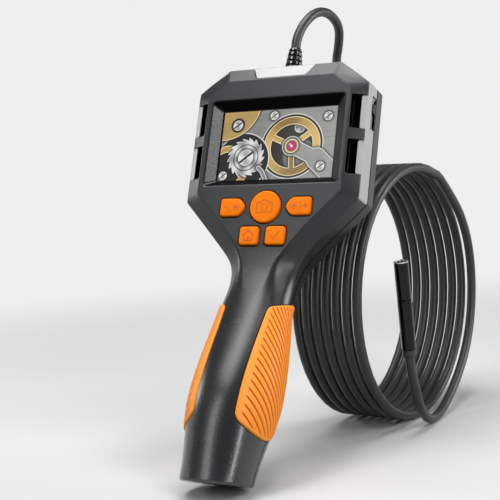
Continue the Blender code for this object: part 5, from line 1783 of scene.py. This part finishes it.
@dataclass
class Case:
    """The housing's three dressed pieces."""

    housing: Housing
    screen: Screen
    notches: Notches
    keypad: Keypad
    switch: PowerSwitch
    fittings: Fittings
    boot: StrainRelief
    grips: tuple[Grip, Grip]
    hard_edge: float = 14.0

    def make(self, shell: Finish, band: Finish) -> None:
        """Build, cut and dress the front shell, the side frame and the back shell.

        Args:
            shell: The shells' plastic.
            band: The frame's plastic, light grey as painted light.
        """
        front = self.housing.hollow("front_case", Part.FRONT)
        carve(front, self.screen.collar(), Join.ADD)
        for cutter in (self.screen.mouth, self.notches.cutter, self.keypad.holes):
            carve(front, cutter())
        back = self.housing.hollow("back_case", Part.BACK)
        for grip in self.grips:
            pocket = grip.pocket()
            carve(front, pocket, keep=True)
            carve(back, pocket)
        hole = self.boot.cutter()
        frame = self.housing.hollow("side_band", Part.MIDDLE)
        carve(frame, self.notches.tongues(), Join.ADD)
        carve(frame, self.notches.floors(), Join.ADD)
        for cutter in (self.fittings.ports, self.switch.recess, self.switch.slot):
            carve(frame, cutter())
        carve(frame, hole, keep=True)
        carve(back, hole)
        carve(back, self.fittings.sinks())
        for piece, finish, slot, node in ((front, shell, "charcoal_plastic", "front_shell"),
                                          (back, shell, "charcoal_plastic", "back_shell"),
                                          (frame, band, "light_grey_plastic", "side_frame")):
            shade(piece, self.hard_edge)
            fit(piece, finish, "camera", slot, node)


@dataclass
class Probe:
    """Camera probe on the end of the cable, turned about its own axis."""

    base: Triple = (0.0600, 0.0765, -0.1385)
    tip: Triple = (0.0600, 0.0496, -0.0907)
    radius: float = 0.004
    collar: float = 0.0046
    share: float = 0.43
    steps: int = 56
    core: float = 0.0002
    edge: float = 0.0004
    collar_low: float = 0.0016
    collar_edge: float = 0.0003
    neck: Profile = ((0.0031, 0.0003), (0.0029, 0.0), (0.0002, 0.0))
    seat: float = 0.0022
    bore: float = 0.0032
    lip: Pair = (0.0034, 0.0003)
    glass: Profile = (
        (0.0002, 0.0012), (0.0007, 0.00118), (0.0011, 0.00106), (0.0014, 0.0008), (0.0014, 0.0),
        (0.0002, 0.0))
    ring_height: float = 0.0011
    ring_radii: Pair = (0.0017, 0.0029)
    lamp_count: int = 6
    lamp_circle: float = 0.0023
    lamp_dome: Profile = (
        (0.00001, 0.0003), (0.0002, 0.00027), (0.00036, 0.00018), (0.00042, 0.0))

    def frame(self) -> tuple[Matrix, float]:
        """Return the probe's place in the row frame and its length."""
        start = Vector(self.base)
        along = Vector(self.tip) - start
        turn = along.to_track_quat("Z", "Y").to_matrix().to_4x4()
        return BODY @ Matrix.Translation(start) @ turn, along.length

    def beyond(self, sheet: Sheet, place: float) -> Ex:
        """Return a shader mask of what lies ahead of a place on the probe's axis.

        Args:
            sheet: The material's sheet.
            place: The place, measured from the tip.

        Returns:
            1 ahead of it, else 0.
        """
        along = (Vector(self.tip) - Vector(self.base)).normalized()
        x, y, z = sheet.place()
        ahead = (x - self.tip[0]) * along.x + (y - self.tip[1]) * along.y + (z - self.tip[2]) * along.z
        return sheet.step(ahead, place - 0.00005, place + 0.00005)

    def bevelled(self, low: float, high: float, edge: float) -> list[Pair]:
        """Return a barrel's profile with edges rounded by quarter circles, from top to bottom.

        Args:
            low: Its lower end.
            high: Its upper end.
            edge: The radius of its edges.

        Returns:
            Each point's radius and height.
        """
        arc, inner = np.linspace(0.0, 0.5 * np.pi, 6), self.radius - edge
        upper = [(inner + edge * math.sin(a), high - edge + edge * math.cos(a)) for a in arc]
        return upper + [(inner + edge * math.cos(a), low + edge - edge * math.sin(a)) for a in arc]

    def make(self, metal: Finish, matte: Finish, lamp: Finish, lens: Finish) -> list[Piece]:
        """Build and dress the two barrel pieces, the collar, the lens and the lamp ring.

        Args:
            metal: The barrels' finish.
            matte: The collar's.
            lamp: The lamp ring's.
            lens: The lens's.

        Returns:
            The pieces.
        """
        place, length = self.frame()
        low = self.collar + GAP
        high = low + (length - self.collar - 2 * GAP) * (1 - self.share)
        cap_low, seat = high + GAP, length - self.seat
        cap = [(self.core, seat), (self.bore, seat), (self.bore, length - self.lip[1]), (self.lip[0], length),
               *self.bevelled(cap_low, length, self.edge)[1:], (self.core, cap_low)]
        sleeve = [(self.core, high), *self.bevelled(low, high, self.edge), (self.core, low)]
        collar = [(self.core, self.collar),
                  *self.bevelled(self.collar_low, self.collar, self.collar_edge)[:-1], *self.neck]
        ring_low = seat + GAP
        ring_top = ring_low + self.ring_height
        glass = [(r, ring_low + h) for r, h in self.glass]
        turned = (("probe_tip_barrel", cap, metal, "gloss_gunmetal", "probe_cap"),
                  ("probe_rear_barrel", sleeve, metal, "gloss_gunmetal", "probe_sleeve"),
                  ("probe_rear_collar", collar, matte, "cable_jacket", "probe_collar"),
                  ("probe_glass", glass, lens, "lens_glass", "probe_lens"))
        made = [fit(build(name, *drum(profile, self.steps), 40.0, place), finish, "camera", slot, node)
                for name, profile, finish, slot, node in turned]
        inner, outer = self.ring_radii
        ring = [(inner, ring_low), (inner, ring_top), (outer, ring_top), (outer, ring_low), (inner, ring_low)]
        forms = [(drum(ring, self.steps)[0], quads(len(ring), self.steps, True).tolist())]
        forms += [lifted(drum(self.lamp_dome, 14), (*spot, ring_top))
                  for spot in circle(self.lamp_circle, self.lamp_count)]
        lamps = build("probe_lamps", *together(forms), 40.0, place)
        return [*made, fit(lamps, lamp, "camera", "lamp_ring", "lamp_ring")]


def leaned(points: Sequence[Point | Vector]) -> Array:
    """Return points of the camera's own frame in the row frame."""
    return np.array([tuple(BODY @ Vector(point)) for point in points])


@dataclass
class Cable:
    """The cable in one unbroken run: an arch over the head, seven turns of coil and a loose last turn."""

    width: float = 0.0054
    turns: int = 7
    per_turn: int = 48
    radius: float = 0.0730
    pitch: float = 0.0063
    start_x: float = 0.0070
    behind: Pair = (0.1133, -0.0938)
    shift: float = 0.0004
    yaw: float = math.radians(-6.9)
    start: float = math.radians(21.5)
    step: float = 0.004
    exits: Route = ((0.0, 0.0156, 0.0235), (0.0, 0.0156, 0.0285))
    lead: Route = (
        (0.0013, 0.0178, 0.0374), (0.0027, 0.0211, 0.0435), (0.0042, 0.0263, 0.0495),
        (0.0056, 0.0327, 0.0535), (0.0065, 0.0399, 0.0555), (0.0070, 0.0474, 0.0557),
        (0.0068, 0.0539, 0.0546), (0.0058, 0.0594, 0.0522), (0.0042, 0.0635, 0.0492),
        (0.0027, 0.0669, 0.0459), (0.0006, 0.0708, 0.0408), (0.0008, 0.0765, 0.0220),
        (0.0023, 0.0815, 0.0022), (0.0043, 0.0872, -0.0058), (0.0061, 0.0928, -0.0112),
    )
    tail: Route = (
        (0.0585, 0.1289, -0.0281), (0.0605, 0.1459, -0.0357), (0.0615, 0.1617, -0.0470),
        (0.0619, 0.1730, -0.0622), (0.0619, 0.1795, -0.0801), (0.0619, 0.1794, -0.1006),
        (0.0619, 0.1732, -0.1184), (0.0615, 0.1627, -0.1353), (0.0608, 0.1509, -0.1495),
        (0.0602, 0.1386, -0.1602), (0.0600, 0.1244, -0.1663), (0.0600, 0.1123, -0.1668),
        (0.0600, 0.1012, -0.1630), (0.0600, 0.0925, -0.1562),
    )

    def coil(self) -> Array:
        """Return the helix on the floor: a spoke turns back and down while the run goes along the axis."""
        along = np.array([math.cos(self.yaw), math.sin(self.yaw), 0.0])
        back = np.array([-math.sin(self.yaw), math.cos(self.yaw), 0.0])
        up = np.array([0.0, 0.0, 1.0])
        half = 0.5 * self.turns * self.pitch
        depth = (BODY @ Vector((0.0, *self.behind))).y - self.shift
        first = np.array([self.start_x + half * along[0], depth, self.radius + self.width / 2]) - along * half
        turn = np.arange(self.turns * self.per_turn + 1) / self.per_turn
        angle = self.start + 2 * np.pi * turn
        spoke = np.outer(np.sin(angle), back) + np.outer(np.cos(angle), up)
        return first + np.outer(turn * self.pitch, along) + self.radius * spoke

    def run(self, probe: Probe) -> Array:
        """Return the whole cable's points, a smooth curve through its route.

        Args:
            probe: The probe that it ends on.

        Returns:
            The points, from the head to the probe.
        """
        coil = self.coil()
        into, out = coil[0] - coil[1], coil[-1] - coil[-2]
        coil = np.vstack([coil[0] + into / np.linalg.norm(into) * self.width, coil,
                          coil[-1] + out / np.linalg.norm(out) * self.width])
        base = Vector(probe.base)
        aim = (Vector(probe.tip) - base).normalized()
        lead = leaned([*self.exits, *self.lead])
        tail = leaned([*self.tail, base - aim * (GAP + self.width), base - aim * GAP])
        head = spline(np.vstack([lead, coil[:2]]), self.step)
        foot = spline(np.vstack([coil[-2:], tail]), self.step)
        return np.vstack([head[:-1], coil[1:-1], foot[1:]])

    def make(self, probe: Probe, finish: Finish, on_it: Sequence[Piece]) -> None:
        """Build the cable as one round curve.

        Args:
            probe: The probe that it ends on.
            finish: The cable's jacket.
            on_it: The probe's pieces, which go with the cable; not used.
        """
        points = self.run(probe)
        curve = bpy.data.curves.new("probe_cable", "CURVE")
        curve.dimensions = "3D"
        curve.bevel_depth = self.width / 2
        curve.bevel_resolution = 5
        curve.use_fill_caps = True
        line = curve.splines.new("POLY")
        line.points.add(len(points) - 1)
        line.points.foreach_set("co", np.column_stack([points, np.ones(len(points))]).ravel())
        line.use_smooth = True
        cable = placed("probe_cable", curve)
        fit(cable, finish, "camera", "cable_jacket", "cable_lead", "cable_coil", "cable_tail")


def spline(route: Array, step: float) -> Array:
    """Return a smooth curve through a route: centripetal Catmull-Rom, stretch by stretch.

    Args:
        route: Points that it passes through.
        step: About how far its points lie apart.

    Returns:
        Points at equal steps along the curve.
    """
    p = np.vstack([2 * route[0] - route[1], route, 2 * route[-1] - route[-2]])
    a, b, c, d = p[:-3, None], p[1:-2, None], p[2:-1, None], p[3:, None]
    t1 = np.linalg.norm(b - a, axis=-1, keepdims=True) ** 0.5
    t2 = t1 + np.linalg.norm(c - b, axis=-1, keepdims=True) ** 0.5
    t3 = t2 + np.linalg.norm(d - c, axis=-1, keepdims=True) ** 0.5
    t = t1 + (t2 - t1) * np.linspace(0, 1, 24, endpoint=False)[None, :, None]
    p1 = a * (t1 - t) / t1 + b * t / t1
    p2 = b * (t2 - t) / (t2 - t1) + c * (t - t1) / (t2 - t1)
    p3 = c * (t3 - t) / (t3 - t2) + d * (t - t2) / (t3 - t2)
    q1 = p1 * (t2 - t) / t2 + p2 * t / t2
    q2 = p2 * (t3 - t) / (t3 - t1) + p3 * (t - t1) / (t3 - t1)
    curve = q1 * (t2 - t) / (t2 - t1) + q2 * (t - t1) / (t2 - t1)
    dense = np.vstack([curve.reshape(-1, 3), route[-1:]])
    run = np.concatenate([[0.0], np.cumsum(np.linalg.norm(np.diff(dense, axis=0), axis=1))])
    wanted = np.linspace(0.0, run[-1], max(4, int(round(run[-1] / step))) + 1)
    return np.column_stack([np.interp(wanted, run, dense[:, k]) for k in range(3)])


@dataclass
class Studio:
    """Pale floor, soft lights and the camera at the photograph's angle.

    A lamp has a name, a place, an aim, a size and its watts: three hang overhead, three stand on the
    right, one in front, one on the left and one behind.
    """

    eye: Triple = (0.2694, -0.5221, -0.2338)
    right: Triple = (0.8905, 0.4412, 0.1103)
    up: Triple = (0.0045, -0.2510, 0.9679)
    focal_px: float = 1146.3
    image: int = 500
    sensor: float = 36.0
    reach: float = 20.0
    rim_from: float = 8.0
    rim_height: float = 4.8
    sky: Colour = (0.92, 0.94, 0.96)
    sky_strength: float = 0.13
    lamps: tuple[tuple[str, Point, Point, Pair, float], ...] = (
        ("top_box", (-0.27, -0.30, 1.00), (-0.20, -0.20, 0.12), (0.36, 0.44), 4.6),
        ("top_back", (-0.12, 0.18, 1.00), (-0.10, 0.10, 0.12), (0.70, 0.36), 4.7),
        ("top_right", (0.14, 0.00, 1.00), (0.05, 0.03, 0.15), (0.24, 0.22), 1.7),
        ("right_box", (0.80, -0.45, 0.72), (0.0, 0.0, 0.15), (0.30, 0.30), 2.9),
        ("right_strip", (0.86, -0.52, 0.34), (0.0, -0.05, 0.05), (0.12, 0.28), 1.3),
        ("right_high", (0.74, -0.06, 0.80), (0.0, 0.0, 0.10), (0.16, 0.16), 0.8),
        ("front_strip", (-0.40, -0.80, 0.62), (0.0, -0.05, 0.05), (0.20, 0.50), 1.3),
        ("left_box", (-0.95, -0.09, 0.46), (0.0, 0.0, 0.12), (0.28, 0.22), 1.6),
        ("rear_box", (0.85, 0.55, 0.40), (0.0, 0.05, 0.15), (0.40, 0.40), 4.6),
    )

    def view(self) -> None:
        """Set the fitted camera: its axes in the body's frame, leaned with the body."""
        right = Vector(self.right).normalized()
        up = (Vector(self.up) - right * right.dot(Vector(self.up))).normalized()
        turn = Matrix((right, up, right.cross(up))).transposed().to_4x4()
        data = bpy.data.cameras.new("view")
        data.sensor_fit = "HORIZONTAL"
        data.sensor_width = self.sensor
        data.lens = self.sensor * self.focal_px / self.image
        data.clip_start = 0.01
        camera = placed("view", data)
        camera.matrix_world = BODY @ Matrix.Translation(self.eye) @ turn
        bpy.context.scene.camera = camera

    def floor(self) -> None:
        """Lay the pale floor: a round sheet, whose rim rises by a smooth step of the radius.

        Seen by the camera, or in gloss and glass, the floor passes into an even pale tone away from
        the object. For other light it is a dull grey.
        """
        rows, columns = 48, 64
        r, a = np.meshgrid(np.geomspace(0.05, self.reach, rows),
                           np.linspace(0, 2 * np.pi, columns, endpoint=False), indexing="ij")
        rise = self.rim_height * smooth_step(self.rim_from, self.reach, r)
        faces = [*quads(rows, columns, True).tolist(), list(range(columns))]
        sweep = build("studio_floor", np.stack([r * np.cos(a), r * np.sin(a), rise], -1), faces, 60.0,
                      Matrix.Identity(4))
        sheet = Sheet("pale_paper")
        paper = sheet.mix(sheet.noise(3.0, 2.0), (0.58, 0.58, 0.58), (0.61, 0.61, 0.61))
        sheet.set(Base_Color=paper, Roughness=0.85)
        far = sheet.node("ShaderNodeVectorMath", {"operation": "LENGTH"}, out="Value", i0=sheet.point())
        seen = sheet.node("ShaderNodeLightPath", out="Is Camera Ray")
        paths = seen.socket.node.outputs
        seen = seen | Ex(sheet, paths["Is Glossy Ray"]) | Ex(sheet, paths["Is Transmission Ray"])
        glow = sheet.node("ShaderNodeEmission", Color=(0.86, 0.86, 0.86), Strength=1.0)
        dull = sheet.node("ShaderNodeBsdfDiffuse", Color=(0.30, 0.30, 0.30))
        near = Ex(sheet, sheet.shader.outputs[0])
        look = sheet.node("ShaderNodeMixShader", i0=sheet.step(far, 0.30, 0.75), i1=near, i2=glow)
        both = sheet.node("ShaderNodeMixShader", i0=seen, i1=dull, i2=look)
        sheet.feed(sheet.tree.nodes["Material Output"].inputs["Surface"], both)
        sweep.data.materials.append(sheet.material)

    def lamp(self, name: str, place: Point, aim: Point, size: Pair, watts: float) -> None:
        """Add a rectangular soft lamp.

        Args:
            name: Its name.
            place: Where it hangs.
            aim: The place that it points at.
            size: Its sides.
            watts: Its power.
        """
        data = bpy.data.lights.new(name, "AREA")
        data.shape = "RECTANGLE"
        data.energy = watts
        data.size, data.size_y = size
        lamp = placed(name, data)
        lamp.location = place
        lamp.rotation_euler = (Vector(aim) - Vector(place)).to_track_quat("-Z", "Y").to_euler()

    def light(self) -> None:
        """Set a soft world and the soft lamps."""
        world = bpy.data.worlds.new("studio")
        world.use_nodes = True
        inputs = world.node_tree.nodes["Background"].inputs
        inputs["Color"].default_value = (*self.sky, 1.0)
        inputs["Strength"].default_value = self.sky_strength
        bpy.context.scene.world = world
        for lamp in self.lamps:
            self.lamp(*lamp)
        bpy.context.scene.view_settings.view_transform = "Standard"


def main() -> None:
    """Build the classes in order and report each piece."""
    logging.basicConfig(level=logging.INFO, format="%(message)s")
    for item in list(bpy.data.objects):
        bpy.data.objects.remove(item)
    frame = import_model()
    studio = Studio()
    studio.view()
    nodes = frame["nodes"]
    housing = Housing()
    notches = Notches(housing)
    screen = Screen()
    switch = PowerSwitch(housing)
    probe = Probe()
    # Charcoal shells: darker on the handle; painted shade darkens the screen recess's walls and blackens the
    # notch slots and the parting line's gap.
    charcoal = MouldedPlastic(
        "charcoal_shell", (0.026, 0.028, 0.030), rough=0.28, grain=1500.0, relief=0.15, swing=0.45,
        gloss=0.42, coarse=housing.lower, polish=housing.worn,
        deep=lambda sheet: (housing.lower(sheet) * 0.5) | screen.inside(sheet),
        black_and_shade_mask=lambda sheet: notches.inside(sheet, 0.0004) | housing.seam(sheet) | screen.recess_shade(sheet)).make()
    # Band: painted light, light grey where the shells' charcoal is lit on the top and sides; painted shade
    # blackens the notch slots, the parting line's gap and the switch recess's outline.
    band_painted_light = MouldedPlastic(
        "band_grey_painted_light", (0.42, 0.42, 0.42), rough=0.42, relief=0.05, swing=0.05, flake=0.1,
        black_and_shade_mask=lambda sheet: notches.inside(sheet, 0.0013) | housing.seam(sheet) | switch.outline(sheet)).make()
    knob = MouldedPlastic("knob_black", (0.012, 0.012, 0.013), rough=0.35).make()
    orange = SoftRubber("orange_button", (1.0, 0.218, 0.001), rough=0.5, gloss=0.10).make()
    ink = SoftRubber("sign_ink", (0.62, 0.10, 0.006), rough=0.5).make()
    # Orange grips: painted shade darkens the grooves.
    pad = SoftRubber("orange_grip", (1.0, 0.315, 0.02), (0.70, 0.07, 0.002), rough=0.42, gloss=0.4).make()
    black = SoftRubber("boot_rubber", (0.006, 0.006, 0.006), rough=0.16, coat=0.5).make()
    jacket = CableJacket().make()
    # Gunmetal: a painted highlight turns the probe tip's rim a dull light grey.
    gun = Metal("gunmetal_gloss", (0.014, 0.014, 0.015), rough=0.10, coat=0.25,
                painted_light_patch=lambda sheet: probe.beyond(sheet, -0.0006), tone=0.42).make()
    lamp = MouldedPlastic("lamp_lens", (0.8, 0.76, 0.55), rough=0.15, edge=0.0,
                          black_and_shade_mask=lambda sheet: 1.0 - probe.beyond(sheet, GAP - 0.00102)).make()
    lens = Metal("lens_coat", (0.02, 0.02, 0.035), rough=0.04, metallic=0.2, coat=1.0).make()
    Cable().make(probe, jacket, probe.make(gun, jacket, lamp, lens))
    grips = (Grip(housing, Side.LEFT), Grip(housing, Side.RIGHT))
    keypad, fittings, boot = Keypad(), Fittings(housing), StrainRelief()
    Case(housing, screen, notches, keypad, switch, fittings, boot, grips).make(charcoal, band_painted_light)
    for grip in grips:
        grip.make(pad)
    keypad.make(orange, ink)
    switch.make(knob)
    screen.make(ScreenPicture().make(), nodes)
    boot.make(black)
    fittings.dress_inner(nodes)
    studio.floor()
    studio.light()


if __name__ == "__main__":
    main()
